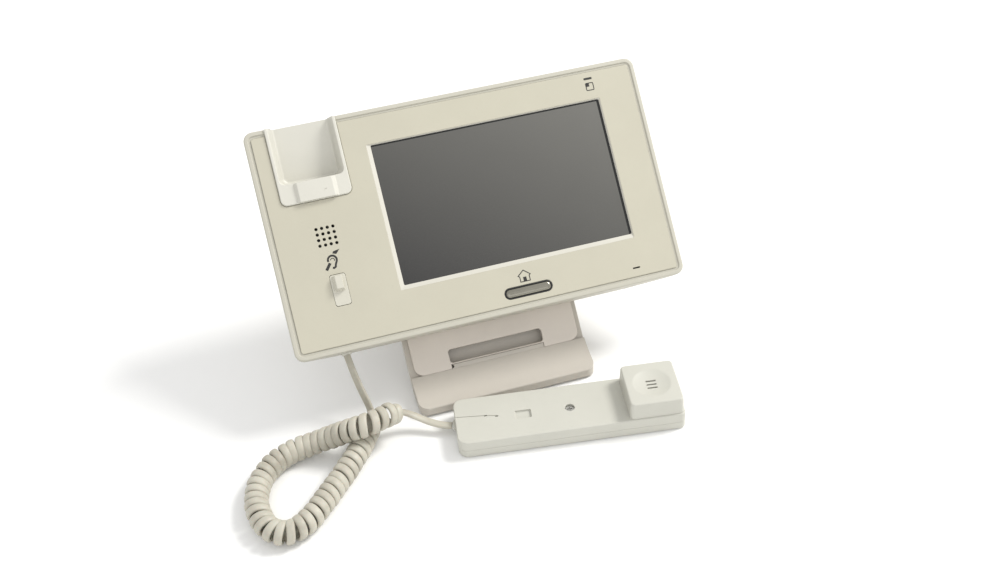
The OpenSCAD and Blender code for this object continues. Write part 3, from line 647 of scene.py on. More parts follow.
MONITOR_TAIL_ROUTE = [
    (-98, 16.5, 43), (-97.5, 13, 39.5), (-96.5, 8, 33.5), (-94.5, 2, 25), (-92, -3, 16),
    (-90, -8, 8)]
HANDSET_TAIL_ROUTE = [
    (-44, -31, 6), (-48, -30.3, 6), (-54, -26.5, 6.5), (-61, -21, 8), (-69, -17, 13),
    (-75, -17.5, 17.5), (-79, -20, 20)]


def smooth_route(points, steps):
    """Smooth curve through a route's points, with a number of steps between neighbours."""
    route = np.array(points, float)
    last = len(route) - 1
    curve = []
    for i in range(last):
        a, b = route[max(i - 1, 0)], route[i]
        c, d = route[i + 1], route[min(i + 2, last)]
        for step in range(steps):
            t = step / steps
            curve.append(0.5 * (2 * b + (c - a) * t + (2 * a - 5 * b + 4 * c - d) * t * t
                                + (3 * b - a - 3 * c + d) * t ** 3))
    curve.append(route[last])
    return np.array(curve)


def run_lengths(points):
    steps = np.linalg.norm(np.diff(points, axis=0), axis=1)
    return np.concatenate([[0], np.cumsum(steps)])


def even_spacing(points, count):
    runs = run_lengths(points)
    wanted = np.linspace(0, runs[-1], count)
    return np.stack([np.interp(wanted, runs, points[:, axis]) for axis in range(3)], axis=1)


def unit_rows(rows):
    return rows / np.linalg.norm(rows, axis=1, keepdims=True)


def headings(points):
    return unit_rows(np.gradient(points, axis=0))


def level_across(along):
    """Sideways direction that stays level, for the flat cord's uncoiled stretches."""
    return unit_rows(np.cross(along, (0, 0, 1)))


def waves(turn, terms):
    """Sum of sine waves, each with its depth, rate and shift, for the coil's uneven turns."""
    return sum(depth * np.sin(turn * rate + shift) for depth, rate, shift in terms)


def cord_axis():
    """Eased line from the handset to the monitor, and the points where its coil starts, stops."""
    route = HANDSET_TAIL_ROUTE[:-1] + COIL_ROUTE + MONITOR_TAIL_ROUTE[-2::-1]
    axis = even_spacing(smooth_route(route, 12), AXIS_POINTS)
    for _ in range(AXIS_EASING):
        axis[1:-1] = (axis[:-2] + 2 * axis[1:-1] + axis[2:]) / 4
    axis = smooth_route(axis, 6)
    count = round(run_lengths(axis)[-1] / COIL_PITCH * POINTS_PER_TURN)
    axis = even_spacing(axis, count + 1)
    half = count // 2
    start = np.argmin(np.linalg.norm(axis[:half] - COIL_START, axis=1))
    stop = half + np.argmin(np.linalg.norm(axis[half:] - COIL_ROUTE[-1], axis=1))
    return axis, start, stop


def cord_strand():
    """Centreline of the strand and the direction of its width at each point."""
    axis, start, stop = cord_axis()
    along = headings(axis)
    across = level_across(along)
    over = np.cross(across, along)
    steps = np.arange(len(axis))
    from_end = np.minimum(steps - start, stop - steps) / POINTS_PER_TURN
    grown = np.clip(from_end / RUN_IN_TURNS, 0, 1)
    grown = grown * grown * (3 - 2 * grown)
    turn = np.concatenate([[0], np.cumsum((grown[1:] + grown[:-1]) / 2)]) / POINTS_PER_TURN
    slack = np.minimum(1 + waves(turn, SLACK), MOST_SLACK)
    radius = (COIL_D / 2 - CORD_T / 2 - COIL_CLEARANCE) * grown * slack
    phase = 2 * math.pi * (turn + waves(turn, DRIFT))
    swing = np.cos(phase)[:, None] * across + np.sin(phase)[:, None] * over
    centre = axis + radius[:, None] * swing
    centre += (waves(turn, SHUFFLE) * grown)[:, None] * along
    twist = TAIL_TWIST * np.clip((steps - stop) / POINTS_PER_TURN, 0, 1)
    flat_way = np.cos(twist)[:, None] * across + np.sin(twist)[:, None] * over
    width_way = grown[:, None] * along + (1 - grown)[:, None] * flat_way
    return centre, width_way


def strand_section():
    """Flattened oval section of the strand."""
    section = []
    for a in np.radians(np.arange(0, 360, 18)):
        across = math.copysign(abs(math.cos(a)) ** 0.75, math.cos(a))
        upwards = math.copysign(abs(math.sin(a)) ** 0.9, math.sin(a))
        section.append((CORD_W / 2 * across, CORD_T / 2 * upwards))
    return section


def make_cord():
    centres, widths = cord_strand()
    along = headings(centres)
    for i in range(1, len(widths)):
        if np.dot(widths[i], widths[i - 1]) < 0:
            widths[i] = -widths[i]
    widths = unit_rows(widths - np.sum(widths * along, axis=1, keepdims=True) * along)
    for _ in range(WIDTH_EASING):
        widths[1:-1] = widths[:-2] + 2 * widths[1:-1] + widths[2:]
        widths = unit_rows(widths - np.sum(widths * along, axis=1, keepdims=True) * along)
    flats = np.cross(along, widths)
    section = strand_section()
    loops = [[Vector(centre + x * wide + y * flat) for x, y in section]
             for centre, wide, flat in zip(centres, widths, flats)]
    cord = loft("curly_cord", loops)
    cord.data.transform(OBJECT)
    cord.data.materials.append(CORD)
    cord.data.shade_smooth()
    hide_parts("cord_tail_monitor", "cord_coil", "cord_tail_handset")
    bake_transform(cord)


make_cord()


# ---- Front of the monitor ----

FRAME_EDGE = 1.0
RIM_CROWN = 0.08
PLATE_EDGE = 0.6
CRADLE_CORNER = 4
POCKET_TOP_D = 4.5
POCKET_CORNER = 3.6
POCKET_RIM = 0.6
POCKET_FILLET = 1.8
POCKET_DRAW = 2.4
TAB_LEFT = -107
TAB_RIGHT = -78.4
TAB_SLOPE = 3.6
TAB_DARK_SLOPE = 2.9
TAB_H = 3.2
SCREEN_CHAMFER = 2.7
SCREEN_LIP = 0.5
CRADLE_SEAM = 0.12
GLASS_DEPTH = 1.2
INK_T = 0.04
SPEAKER_PITCH = 3.6
SPEAKER_HOLE_R = 1.05
LEDGE_W = 6
LEDGE_RELIEFS = [((24.5, -64.5), (36, 5)), ((98.3, -64), (7.6, 4.4)), ((96.9, 65), (8, 5))]
PLATE_CORNER = 1.8
BUTTON_SEAM = 1.1
BUTTON_DEPTH = 3.6
BUTTON_EDGE = 2.4
BUTTON_CROWN = 0.95
LENS_SIZE = (5.6, 1.4)
MICROPHONE_SIZE = (5, 1)
LEVER_PAD = (10, 19.9, 1.6)
LEVER_OPENING = (10.24, 20.44)
PEG_LEFT = -96.9
PEG_RIGHT = -89.7
PEG_BOTTOM = -35.9
PEG_TOP = -25.9


def u_outline(left, right, bottom, top, radius, steps=6):
    """Anticlockwise outline with square upper corners and round lower ones."""
    low_left = corner_arc((left + radius, bottom + radius), radius, 180, 270, steps)
    low_right = corner_arc((right - radius, bottom + radius), radius, 270, 360, steps)
    return [(right, top), (left, top)] + low_left + low_right


def cradle_notch(grow):
    """Space that the cradle insert fills, open past the monitor's upper edge."""
    half = CRADLE_W / 2 + grow
    outline = u_outline(CRADLE_X - half, CRADLE_X + half, CRADLE_BOTTOM - grow,
                        MONITOR_H / 2 + 2, CRADLE_CORNER + grow)
    return prism("notch", outline, -CRADLE_DEPTH - grow, 3)


def rim_outline(inset, z):
    radius = max(CORNER_R - 0.9 * inset, PLATE_CORNER)
    return at_height(rounded(MONITOR_W - 2 * inset, MONITOR_H - 2 * inset, radius), z)


def make_front_frame():
    """Bright rim, shallow groove and, below the plate, the ledge that it rests on."""
    groove_end = RIM_W + GROOVE_W - CLEARANCE
    ledge = RIM_W + GROOVE_W + LEDGE_W
    seat = -PLATE_D - CLEARANCE
    inner_edge = 0.4
    loops = [rim_outline(0, -FRAME_D)]
    loops += [rim_outline(FRAME_EDGE * (1 - cosine), FRAME_EDGE * (sine - 1) - RIM_CROWN)
              for sine, cosine in quarter(6, 84)]
    loops.append(rim_outline(RIM_W * 0.6, -RIM_CROWN / 4))
    loops += [rim_outline(RIM_W - inner_edge * (1 - sine), inner_edge * (cosine - 1))
              for sine, cosine in quarter(4)]
    loops += [rim_outline(RIM_W + 0.1, -GROOVE_D + 0.1), rim_outline(RIM_W + 0.3, -GROOVE_D),
              rim_outline(groove_end, -GROOVE_D), rim_outline(groove_end, seat),
              rim_outline(ledge, seat), rim_outline(ledge, -FRAME_D)]
    frame_ring = loft("monitor_rim", loops, closed=True)
    reliefs = [prism("relief", rounded(w, h, 0.5, (x, y)), -FRAME_D - 1, 0.5)
               for (x, y), (w, h) in LEDGE_RELIEFS]
    cut(frame_ring, cradle_notch(CRADLE_SEAM), *reliefs)
    fit(smooth(frame_ring), FACE, "root", RIM, "white_plastic", "front_frame")


def plate_outline():
    """The plate's border, with the cradle's notch in its upper edge."""
    half_h = MONITOR_H / 2 - RIM_W - GROOVE_W
    half_w = MONITOR_W / 2 - RIM_W - GROOVE_W
    corners = rounded(2 * half_w, 2 * half_h, PLATE_CORNER)
    first = len(corners) // 4
    radius = CRADLE_CORNER + CRADLE_SEAM
    left = CRADLE_X - CRADLE_W / 2 - CRADLE_SEAM
    right = CRADLE_X + CRADLE_W / 2 + CRADLE_SEAM
    low = CRADLE_BOTTOM - CRADLE_SEAM + radius
    notch = [(right, half_h)] + corner_arc((right - radius, low), radius, 0, -90)
    notch += corner_arc((left + radius, low), radius, -90, -180) + [(left, half_h)]
    return corners[:first] + notch + corners[first:]


def screen_outline(share, grow=0.0):
    """The screen's opening: a wide chamfer on its left and lower sides, a thin lip elsewhere."""
    x, y, width, height = SCREEN
    wide = share * SCREEN_CHAMFER + grow
    thin = share * SCREEN_LIP + grow
    return rounded(width + wide + thin, height + wide + thin, 0.8,
                   (x + (thin - wide) / 2, y + (thin - wide) / 2), 3)


def button_outline(grow):
    """The home button's pill, grown or drawn in."""
    return rounded(BUTTON_W + 2 * grow, BUTTON_H + 2 * grow, BUTTON_H / 2 + grow - 0.01, BUTTON)


def small_opening(size, radius, place, steps=6):
    """Outline, by its inset, of a small opening."""
    return lambda inset: rounded(size[0] - 2 * inset, size[1] - 2 * inset, radius, place, steps)


def make_front_plate():
    spots = [(-1.5 + step) * SPEAKER_PITCH for step in range(4)]
    small = [lambda inset, place=(CRADLE_X + x, y): circle(SPEAKER_HOLE_R - inset, place, 16)
             for x in spots for y in spots]
    small.append(small_opening(LEVER_OPENING, LEVER_PAD[2], LEVER))
    small.append(small_opening(LENS_SIZE, 0.4, LENS, 3))
    small.append(small_opening(MICROPHONE_SIZE, 0.3, MICROPHONE, 3))
    panel = plate("front_panel", [plate_outline(), screen_outline(1), button_outline(BUTTON_SEAM)],
                  -PLATE_D, 0, PLATE_EDGE)
    cut(panel, *[hollow("hole", outline, -PLATE_D - 1, 0, rim_edge=0.12) for outline in small])
    fit(smooth(panel), FACE, "root", CREAM, "cream_plastic", "front_plate")


def make_screen_surround():
    """Chamfered pale border that leads down to the cover glass. Its plastic is lighter than the
    panel's as a painted highlight for the light its slopes catch.
    """
    stages = [(1, 0.1, -0.2), (1, 0, -0.22), (0, 0, 0.1 - GLASS_DEPTH), (0, 0, -GLASS_DEPTH),
              (1, 0.1, -GLASS_DEPTH)]
    chamfer = loft("screen_surround", [at_height(screen_outline(share, grow), z)
                                       for share, grow, z in stages], closed=True)
    fit(smooth(chamfer), FACE, "root", CHAMFER_PAINTED_HIGHLIGHT, "white_plastic")


def make_button_bezel():
    stages = [(BUTTON_SEAM, -1.5), (BUTTON_SEAM, -0.1), (0.35, -0.05), (0.3, -1.5)]
    bezel = loft("button_bezel", [at_height(button_outline(grow), z) for grow, z in stages],
                 closed=True)
    fit(smooth(bezel), FACE, "root", BLACK, "black_plastic")


def make_display():
    """The unlit picture area, seen through the cover glass. It stops short of the top and right, so
    the dark glass shows there as a border: partly the glass's own border, partly painted shade.
    """
    x, y, width, height = SCREEN
    right_shade_border = 1.7
    top_shade_border = 1.1
    picture = slab("display_area", lambda inset: rounded(
        width - right_shade_border - 2 * inset, height - top_shade_border - 2 * inset, 0.4,
        (x - right_shade_border / 2, y - top_shade_border / 2), 3), -GLASS_DEPTH, -GLASS_DEPTH + 0.04,
        high_edge=0.02)
    fit(smooth(picture), FACE, "root", DISPLAY, "black_plastic")


def pocket_outline(inset):
    half = POCKET_W / 2
    return u_outline(CRADLE_X - half + inset, CRADLE_X + half - inset, LIP_TOP + inset,
                     MONITOR_H / 2 + 3, max(POCKET_CORNER + 0.35 * inset, 0.5))


def make_pocket():
    """Cutter for the handset's pocket: drawn-in walls, and a floor that rises to the top edge."""
    loops = []
    for sine, cosine in quarter(6):
        loop = at_height(pocket_outline(POCKET_DRAW + POCKET_FILLET * (1 - sine)),
                         -POCKET_D + POCKET_FILLET * (1 - cosine))
        for point in loop:
            along = (point.y - LIP_TOP) / (MONITOR_H / 2 - LIP_TOP)
            point.z += (POCKET_D - POCKET_TOP_D) * min(max(along, 0), 1)
        loops.append(loop)
    loops += rim_loops(pocket_outline, CRADLE_PROUD, POCKET_RIM, 4, -1)
    loops.append(at_height(pocket_outline(-POCKET_RIM), CRADLE_PROUD + 2))
    return loft("pocket", loops)


def make_cradle():
    half = CRADLE_W / 2
    body = slab("cradle_insert", lambda inset: u_outline(
        CRADLE_X - half + inset, CRADLE_X + half - inset, CRADLE_BOTTOM + inset,
        MONITOR_H / 2 - inset, CRADLE_CORNER - inset), -CRADLE_DEPTH, CRADLE_PROUD,
        low_edge=0.4, high_edge=0.7)
    profile = [(TAB_LEFT, 0.3), (TAB_LEFT, 0.75), (TAB_LEFT + 0.6, 1.0),
               (TAB_LEFT + TAB_DARK_SLOPE - 0.4, TAB_H - 0.25),
               (TAB_LEFT + TAB_DARK_SLOPE + 0.3, TAB_H),
               (TAB_RIGHT - TAB_SLOPE - 0.3, TAB_H), (TAB_RIGHT - TAB_SLOPE + 0.4, TAB_H - 0.25),
               (TAB_RIGHT - 0.6, 1.0), (TAB_RIGHT, 0.75), (TAB_RIGHT, 0.3)]
    tab_low = CRADLE_BOTTOM + 0.25
    tab_high = LIP_TOP - 0.2
    ends = [(tab_low, 0.35), (tab_low + 0.12, 0.12), (tab_low + 0.4, 0), (tab_high - 0.4, 0),
            (tab_high - 0.12, 0.12), (tab_high, 0.35)]
    tab = loft("tab", [[Vector((x, y, z - (drop if z > 0.9 else 0))) for x, z in profile]
                       for y, drop in ends])
    join(body, tab)
    mark = prism("mark", [(-88.3, 28.3), (-86.5, 28.9), (-86.2, 29.4), (-88.0, 28.8)],
                 TAB_H - 0.3, TAB_H + 1)
    cut(body, make_pocket(), mark)
    fit(smooth(body), FACE, "root", WHITE, "white_plastic", "handset_cradle")


def peg_outline(draw, radius):
    """The peg's outline as it draws in with height, more on its left than on its other sides."""
    left = PEG_LEFT + draw
    right = PEG_RIGHT - 0.35 * draw
    bottom = PEG_BOTTOM + 0.6 * draw
    top = PEG_TOP - 0.2 * draw
    return rounded(right - left, top - bottom, radius, ((left + right) / 2, (bottom + top) / 2), 3)


def make_hook_lever():
    width, height, radius = LEVER_PAD
    pad = slab("hook_pad", lambda inset: rounded(width - 2 * inset, height - 2 * inset,
                                                 radius - inset, LEVER), -3, 0.15, high_edge=0.35)
    stages = [(-0.4, 0.0, 0.3), (0.15, 0.0, 0.3), (0.5, 0.35, 0.4), (3.7, 1.8, 0.5),
              (4.1, 2.05, 0.5), (4.3, 2.5, 0.4)]
    peg = loft("peg", [at_height(peg_outline(draw, radius), z) for z, draw, radius in stages])
    join(pad, peg)
    join(pad, x_rod("barrel", 2.2, LEVER[0] - 4.3, LEVER[0] + 4.3, LEVER_PIN))
    fit(smooth(pad, 35), FACE, "hook", LEVER_SHELL, "white_plastic", "hook_lever")


def make_home_button():
    def pill(inset, z):
        return at_height(rounded(BUTTON_W - 2 * inset, BUTTON_H - 2 * inset,
                                 BUTTON_H / 2 - inset - 0.01, BUTTON, 8), z)
    rim = -0.15
    loops = [pill(0, -BUTTON_DEPTH), pill(0, rim)]
    loops += [pill(BUTTON_EDGE * (1 - cosine), rim + BUTTON_CROWN * sine)
              for sine, cosine in quarter(8)[1:-1]]
    button = loft("home_pill", loops)
    fit(smooth(button, 50), FACE, "home", CHROME, "chrome", "home_button")


# ---- Printed pictograms ----

def stroke(name, points, width, closed=False):
    """Flat printed line through points on the face, mitred at its bends."""
    line = [Vector(point) for point in points]
    last = len(line) - 1
    loops = []
    for i, point in enumerate(line):
        before = line[i - 1] if i > 0 or closed else line[0]
        after = line[(i + 1) % len(line)] if i < last or closed else line[last]
        way_in = (point - before).normalized() if point != before else None
        way_out = (after - point).normalized() if after != point else way_in
        way_in = way_in or way_out
        side = Vector((-way_in.y - way_out.y, way_in.x + way_out.x)).normalized()
        reach = width / 2 / max(side.dot(Vector((-way_in.y, way_in.x))), 0.4)
        left = point + side * reach
        right = point - side * reach
        loops.append([Vector((left.x, left.y, -0.1)), Vector((right.x, right.y, -0.1)),
                      Vector((right.x, right.y, INK_T)), Vector((left.x, left.y, INK_T))])
    return loft(name, loops, closed=closed)


def patch(name, outline):
    return prism(name, outline, -0.1, INK_T)


def shifted(points, centre):
    return [(x + centre[0], y + centre[1]) for x, y in points]


def make_pictograms():
    line = 0.58
    home = (23.9, -52.6)
    house = [(-4.1, 0.6), (0, 3.9), (4.1, 0.6), (3.2, 0.0), (3.2, -3.4), (-3.2, -3.4),
             (-3.2, 0.0)]
    door = [(-1.1, -3.3), (1.1, -3.3), (1.1, -0.5), (-1.1, -0.5)]
    home_icon = joined("home_icon", [stroke("walls", shifted(house, home), line, True),
                                     patch("door", shifted(door, home))])
    status = (97.1, 59.8)
    square = stroke("square", rounded(5.0, 4.8, 0.5, status, 2), line, True)
    quarter = patch("quarter", rounded(2.2, 2.2, 0.1, (status[0] - 1.3, status[1] + 1.2), 1))
    status_icon = joined("status_icon", [square, quarter])
    ear = (-93.4, -15.9)
    lobe = corner_arc((ear[0], ear[1] + 0.3), 2.8, 195, -35, 12)
    lobe += shifted([(1.5, -2.9), (1.1, -4.3), (0.1, -4.9), (-0.8, -4.5)], ear)
    inner = corner_arc((ear[0] + 0.1, ear[1] + 0.1), 1.3, 170, -30, 8)
    beam = shifted([(-5.7, -5.0), (-4.2, -6.0), (-1.1, -1.9), (-2.6, -0.9)], ear)
    tip = shifted([(1.0, 4.3), (3.3, 3.5), (5.9, 6.3), (1.5, 5.5)], ear)
    ear_icon = joined("listening_icon", [stroke("lobe", lobe, 1.25), stroke("inner", inner, 0.5),
                                         patch("beam", beam), patch("tip", tip)])
    for icon in (home_icon, status_icon, ear_icon):
        fit(icon, FACE, "root", INK, "black_plastic")


make_front_frame()
make_front_plate()
make_screen_surround()
make_button_bezel()
make_display()
make_cradle()
make_hook_lever()
make_home_button()
make_pictograms()


# ---- Back of the monitor ----

SIDE_DRAW = 33
TOP_DRAW = 8
WALL = 2.5
RECESS_D = 2
BRACKET = (100, 90)
BACK_EDGE = 3
BOSS_R = 3.5
SCREW_HOLE_R = 3
CATCH = (8.8, 3.2)
CATCH_PLACES = [(-30, 19.6), (30, 19.6)]
VENT = (16, 1.6)
VENT_PLACES = [(x, y) for x in (-78, -58, 58, 78) for y in (30, 34.5, 39)]
RELIEF_COLLAR = (9.2, 6.4)
RELIEF_NECK = (6.8, 4.4)


def housing_outline(depth, inset):
    """Border of the tapered housing at a depth below the face, drawn in by an inset."""
    run = (depth - FRAME_D) / (MONITOR_T - FRAME_D)
    half_w = MONITOR_W / 2 - SIDE_DRAW * run - inset
    low = -MONITOR_H / 2 + inset
    high = MONITOR_H / 2 - TOP_DRAW * run - inset
    outline = rounded(2 * half_w, high - low, max(CORNER_R - inset, 1.5), (0, (low + high) / 2))
    return at_height(outline, -depth)


def make_rear_housing():
    floor = MONITOR_T - WALL
    loops = [housing_outline(floor, WALL), housing_outline(FRAME_D, WALL),
             housing_outline(FRAME_D, 0)]
    straight = MONITOR_T - BACK_EDGE
    loops += [housing_outline(straight + BACK_EDGE * sine, BACK_EDGE * (1 - cosine))
              for sine, cosine in quarter(5)]
    shell = loft("rear_shell", loops)
    pad = prism("pad", rounded(BRACKET[0] + 8, BRACKET[1] + 8, 2, (0, BRACKET_Y)),
                -MONITOR_T + 0.5, -MONITOR_T + WALL + RECESS_D)
    bosses = [prism("boss", circle(BOSS_R, place), -MONITOR_T + 1, -FRAME_D - CLEARANCE)
              for place in BOSSES]
    join(shell, pad, *bosses)
    recess = hollow("recess", lambda inset: rounded(
        BRACKET[0] + 1 - 2 * inset, BRACKET[1] + 1 - 2 * inset, 1.5, (0, BRACKET_Y)),
        RECESS_D - MONITOR_T, 2, rim_edge=0)
    flip = Matrix.Translation((0, 0, 2 * (RECESS_D - MONITOR_T)))
    recess.data.transform(flip @ Matrix.Scale(-1, 4, (0, 0, 1)))

    def opening(outline):
        return prism("opening", outline, -MONITOR_T - 1, -MONITOR_T + 8)

    window = opening(rounded(*WINDOW, 1, (0, BRACKET_Y)))
    catches = [opening(rounded(*CATCH, 0.4, place)) for place in CATCH_PLACES]
    holes = [prism("hole", circle(SCREW_HOLE_R, place), -MONITOR_T - 1, -MONITOR_T + 3)
             for place in BOSSES]
    low = -MONITOR_H / 2
    mouth = box("mouth", (GLAND[0] - 3.6, GLAND[0] + 3.6), (low - 1, low + WALL + 1),
                (GLAND[1] - 2.4, GLAND[1] + 2.4))
    vents = [opening(rounded(*VENT, VENT[1] / 2 - 0.01, place)) for place in VENT_PLACES]
    cut(shell, recess, window, *catches, *holes, *vents, cradle_notch(CRADLE_SEAM), mouth)
    fit(smooth(shell), FACE, "root", HOUSING, "white_plastic", "rear_housing")


def relief_stages(wall, neck, mouth_t):
    """A strain relief's stages outwards: place, width and thickness. Its mouth is drawn in."""
    return [(wall + 1.9, *RELIEF_COLLAR), (wall, *RELIEF_COLLAR), (wall, *RELIEF_NECK),
            (neck, *RELIEF_NECK), (-1.0, 6.4, 4.0), (-1.5, 5.8, mouth_t)]


def relief_outline(width, thickness, middle):
    return rounded(width, thickness, min(thickness * 0.35, 1.4), middle, 4)


def make_cord_gland():
    """Strain relief in the monitor's lower wall."""
    loops = [[Vector((x, y - MONITOR_H / 2, z)) for x, z in relief_outline(width, thickness, GLAND)]
             for y, width, thickness in relief_stages(WALL + 0.1, -0.4, 3.3)]
    gland = loft("monitor_strain_relief", loops)
    fit(smooth(gland), FACE, "root", WHITE, "white_plastic", "cord_gland")


make_rear_housing()
make_cord_gland()


# ---- Stand ----

FOOT_FRONT = -13
FOOT_LIFT = 0.6
APRON_FRONT_Z = 7.5
CREASE_YZ = (11.5, 13.9)
FRONT_CORNER = 7
SLOT = (0, -91, 64.5, 9)
NOTCH_HALF = 32
NOTCH_H = 3.1
SEAT = MONITOR_T + STAND_PLATE_T
SHELL_BACK = SEAT + STAND_SHELL_T
HINGE_DEPTH = SHELL_BACK + 5.5
SCREW_PLACES = [(-50, -80), (50, -80), (-50, 21), (50, 21)]
SCREW_CUP_R = 3.7
LUG_X = 50.5
FOOT_PAD = (50.2, 8.2)
NOSE_R = 1.2
PLATE_R = 6
LEG_OPENING = (56, 44)
LEG_OPENING_Z = -40


def apron(share):
    """Concave rise of the apron, from its front edge to the crease."""
    start = FOOT_FRONT + NOSE_R
    rise = 0.45 * share + 0.55 * share ** 2.2
    return (start + (CREASE_YZ[0] - start) * share,
            APRON_FRONT_Z + (CREASE_YZ[1] - APRON_FRONT_Z) * rise)


def stand_profile():
    nose = corner_arc((FOOT_FRONT + NOSE_R, APRON_FRONT_Z - NOSE_R), NOSE_R, 180, 90, 5)
    slope_y, slope_z = face_to_side(0, -SHELL_BACK)
    back_y = slope_y - (slope_z - FOOT_LIFT) / math.tan(FACE_TILT)
    rise = [apron(step / 14) for step in range(1, 15)]
    return ([(FOOT_FRONT + 1, FOOT_LIFT), (FOOT_FRONT, FOOT_LIFT + 1)] + nose + rise
            + [face_to_side(-CREASE - 0.1, -SEAT), face_to_side(STAND_SHELL_TOP, -SEAT),
               face_to_side(STAND_SHELL_TOP, -SHELL_BACK), (back_y, FOOT_LIFT)])


def in_side_view(obj):
    """Turns a solid drawn in the face's frame into the stand's own millimetres."""
    obj.data.transform(Matrix.Scale(1 / MM, 4) @ FACE)
    return obj


def make_stand_base():
    base = along_x("stand_body", stand_profile(), -STAND_W / 2, STAND_W / 2)
    footprint = u_outline(-STAND_W / 2, STAND_W / 2, FOOT_FRONT, 150, FRONT_CORNER, 10)
    combine(base, [prism("footprint", footprint, -5, 200)], "INTERSECT")
    soften(base, 0.9, weight=lambda a, b: 0.0 if max(a.z, b.z) < FOOT_LIFT + 0.01 else 1.0,
           angle=40)
    tongue = in_side_view(box("tongue", (0.3 - NOTCH_HALF, NOTCH_HALF - 0.3),
                              (-CREASE - 0.4, -CREASE + 2.8), (-SEAT - 0.2, -MONITOR_T - 0.4)))
    lugs = []
    for side in (-LUG_X, LUG_X):
        ends = (side - 4, side + 4)
        barrel = x_rod("barrel", LEG_BARREL_R, *ends, (LEG_HINGE_Y, -HINGE_DEPTH))
        web = box("web", ends, (LEG_HINGE_Y - LEG_BARREL_R, LEG_HINGE_Y + LEG_BARREL_R),
                  (-HINGE_DEPTH, -HINGE_DEPTH + 6))
        lugs.append(in_side_view(join(barrel, web)))
    join(base, tongue, *lugs)
    groove = box("groove", (-FOOT_PAD[0], FOOT_PAD[0]), (-FOOT_PAD[1], FOOT_PAD[1]), (-1, 1.6))
    behind_slot = in_side_view(box("behind_slot", (-37, 37), (-CREASE + 3.2, -80),
                                   (-SEAT - 5.4, -SEAT + 1)))
    window = in_side_view(prism("window", rounded(*WINDOW, 1.5, (0, BRACKET_Y)),
                                -SHELL_BACK - 1, -SEAT + 1))
    pin = in_side_view(x_rod("pin", LEG_PIN_R, -65, 65, (LEG_HINGE_Y, -HINGE_DEPTH)))
    cups = [in_side_view(prism("cup", circle(SCREW_CUP_R, place), -SHELL_BACK - 1,
                               -SHELL_BACK + 2)) for place in SCREW_PLACES]
    corner_round = circle(1.1, (0.6 - NOTCH_HALF, -CREASE + 1.6), 12)
    corner_hole = in_side_view(prism("corner_hole", corner_round, -SEAT - 3, -MONITOR_T + 1))
    cut(base, groove, behind_slot, window, pin, corner_hole, *cups)
    fit(smooth(base), OBJECT, "root", STAND, "stand_plastic", "stand_base")


def make_stand_plate():
    half = STAND_PLATE_W / 2
    low = -CREASE
    high = STAND_SHELL_TOP + 1
    outline = [(half, high), (-half, high)]
    outline += corner_arc((-half + PLATE_R, low + PLATE_R), PLATE_R, 180, 270)
    outline += [(-NOTCH_HALF, low), (-NOTCH_HALF, low + NOTCH_H), (NOTCH_HALF, low + NOTCH_H),
                (NOTCH_HALF, low)]
    outline += corner_arc((half - PLATE_R, low + PLATE_R), PLATE_R, 270, 360)
    x, y, width, height = SLOT
    holes = [rounded(width, height, 2, (x, y)), rounded(*WINDOW, 1, (0, BRACKET_Y))]
    board = plate("stand_back_plate", [outline] + holes, -SEAT, -MONITOR_T, 0.45)
    fit(smooth(board), FACE, "root", STAND_PLATE_PAINTED_LIGHT, "stand_plastic", "stand_plate")


def make_rear_leg():
    strip_top = LEG_LEN - 6
    slab_outline = [(-LEG_T / 2, -strip_top), (LEG_T / 2, -strip_top), (LEG_T / 2, 0),
                    (-LEG_T / 2, 0)]
    leg = along_x("leg_body", slab_outline, -LEG_W / 2, LEG_W / 2)
    soften(leg, 1.1, weight=lambda a, b: 0.0 if min(a.z, b.z) > -0.5 else 1.0)
    barrel = x_rod("barrel", LEG_BARREL_R, -LEG_W / 2 - 0.7, LEG_W / 2 + 0.7)
    stop = box("stop", (-20, 20), (-1, 3), (0, 5.8))
    join(leg, barrel, stop)
    opening = [[Vector((x, y, z)) for x, z in rounded(*LEG_OPENING, 3, (0, LEG_OPENING_Z))]
               for y in (-LEG_T, LEG_T)]
    cut(leg, loft("opening", opening), x_rod("bore", LEG_PIN_R + 0.08, -60, 60))
    fit(smooth(leg), LEG, "leg", STAND, "stand_plastic", "rear_leg")


make_stand_base()
make_stand_plate()
make_rear_leg()


# ---- Handset ----

MOUTH_CORNER = 6
EAR_CORNER = 3.5
EAR_X = HS_LEN - EAR_LEN
EAR_LEDGE = 1
EAR_DRAFT = 0.5
HOOK_RECESS_D = 1.6
HOOK_RECESS_SIZE = (10.4, 7)
SPLIT_EDGE = 0.32
DISH_X = 126.5
DISH_R = 13
DISH_D = 2
HOOK_RECESS = (43.4, -0.7)
CORD_ENTRY_Y = 4.2
BLOCK_EDGE = 1.2
HS_SCREW_HOLE = (3.1, 3.6)
SOUND_SLOT = (6.6, 1.15)
SOUND_ROWS = (-3, 0, 3)
PIN_HOLE = (2.2, 1.1)
PIN_HOLE_PLACES = ((19.6, 2.1), (26.6, 0.5))


def handset_outline(inset):
    """Outline from above: soft corners at the mouth end, tighter ones at the ear end."""
    half = HS_W / 2 - inset
    mouth = MOUTH_CORNER - inset
    ear = EAR_CORNER - inset
    left = inset
    right = HS_LEN - inset
    return (corner_arc((right - ear, half - ear), ear, 0, 90)
            + corner_arc((left + mouth, half - mouth), mouth, 90, 180)
            + corner_arc((left + mouth, mouth - half), mouth, 180, 270)
            + corner_arc((right - ear, ear - half), ear, 270, 360))


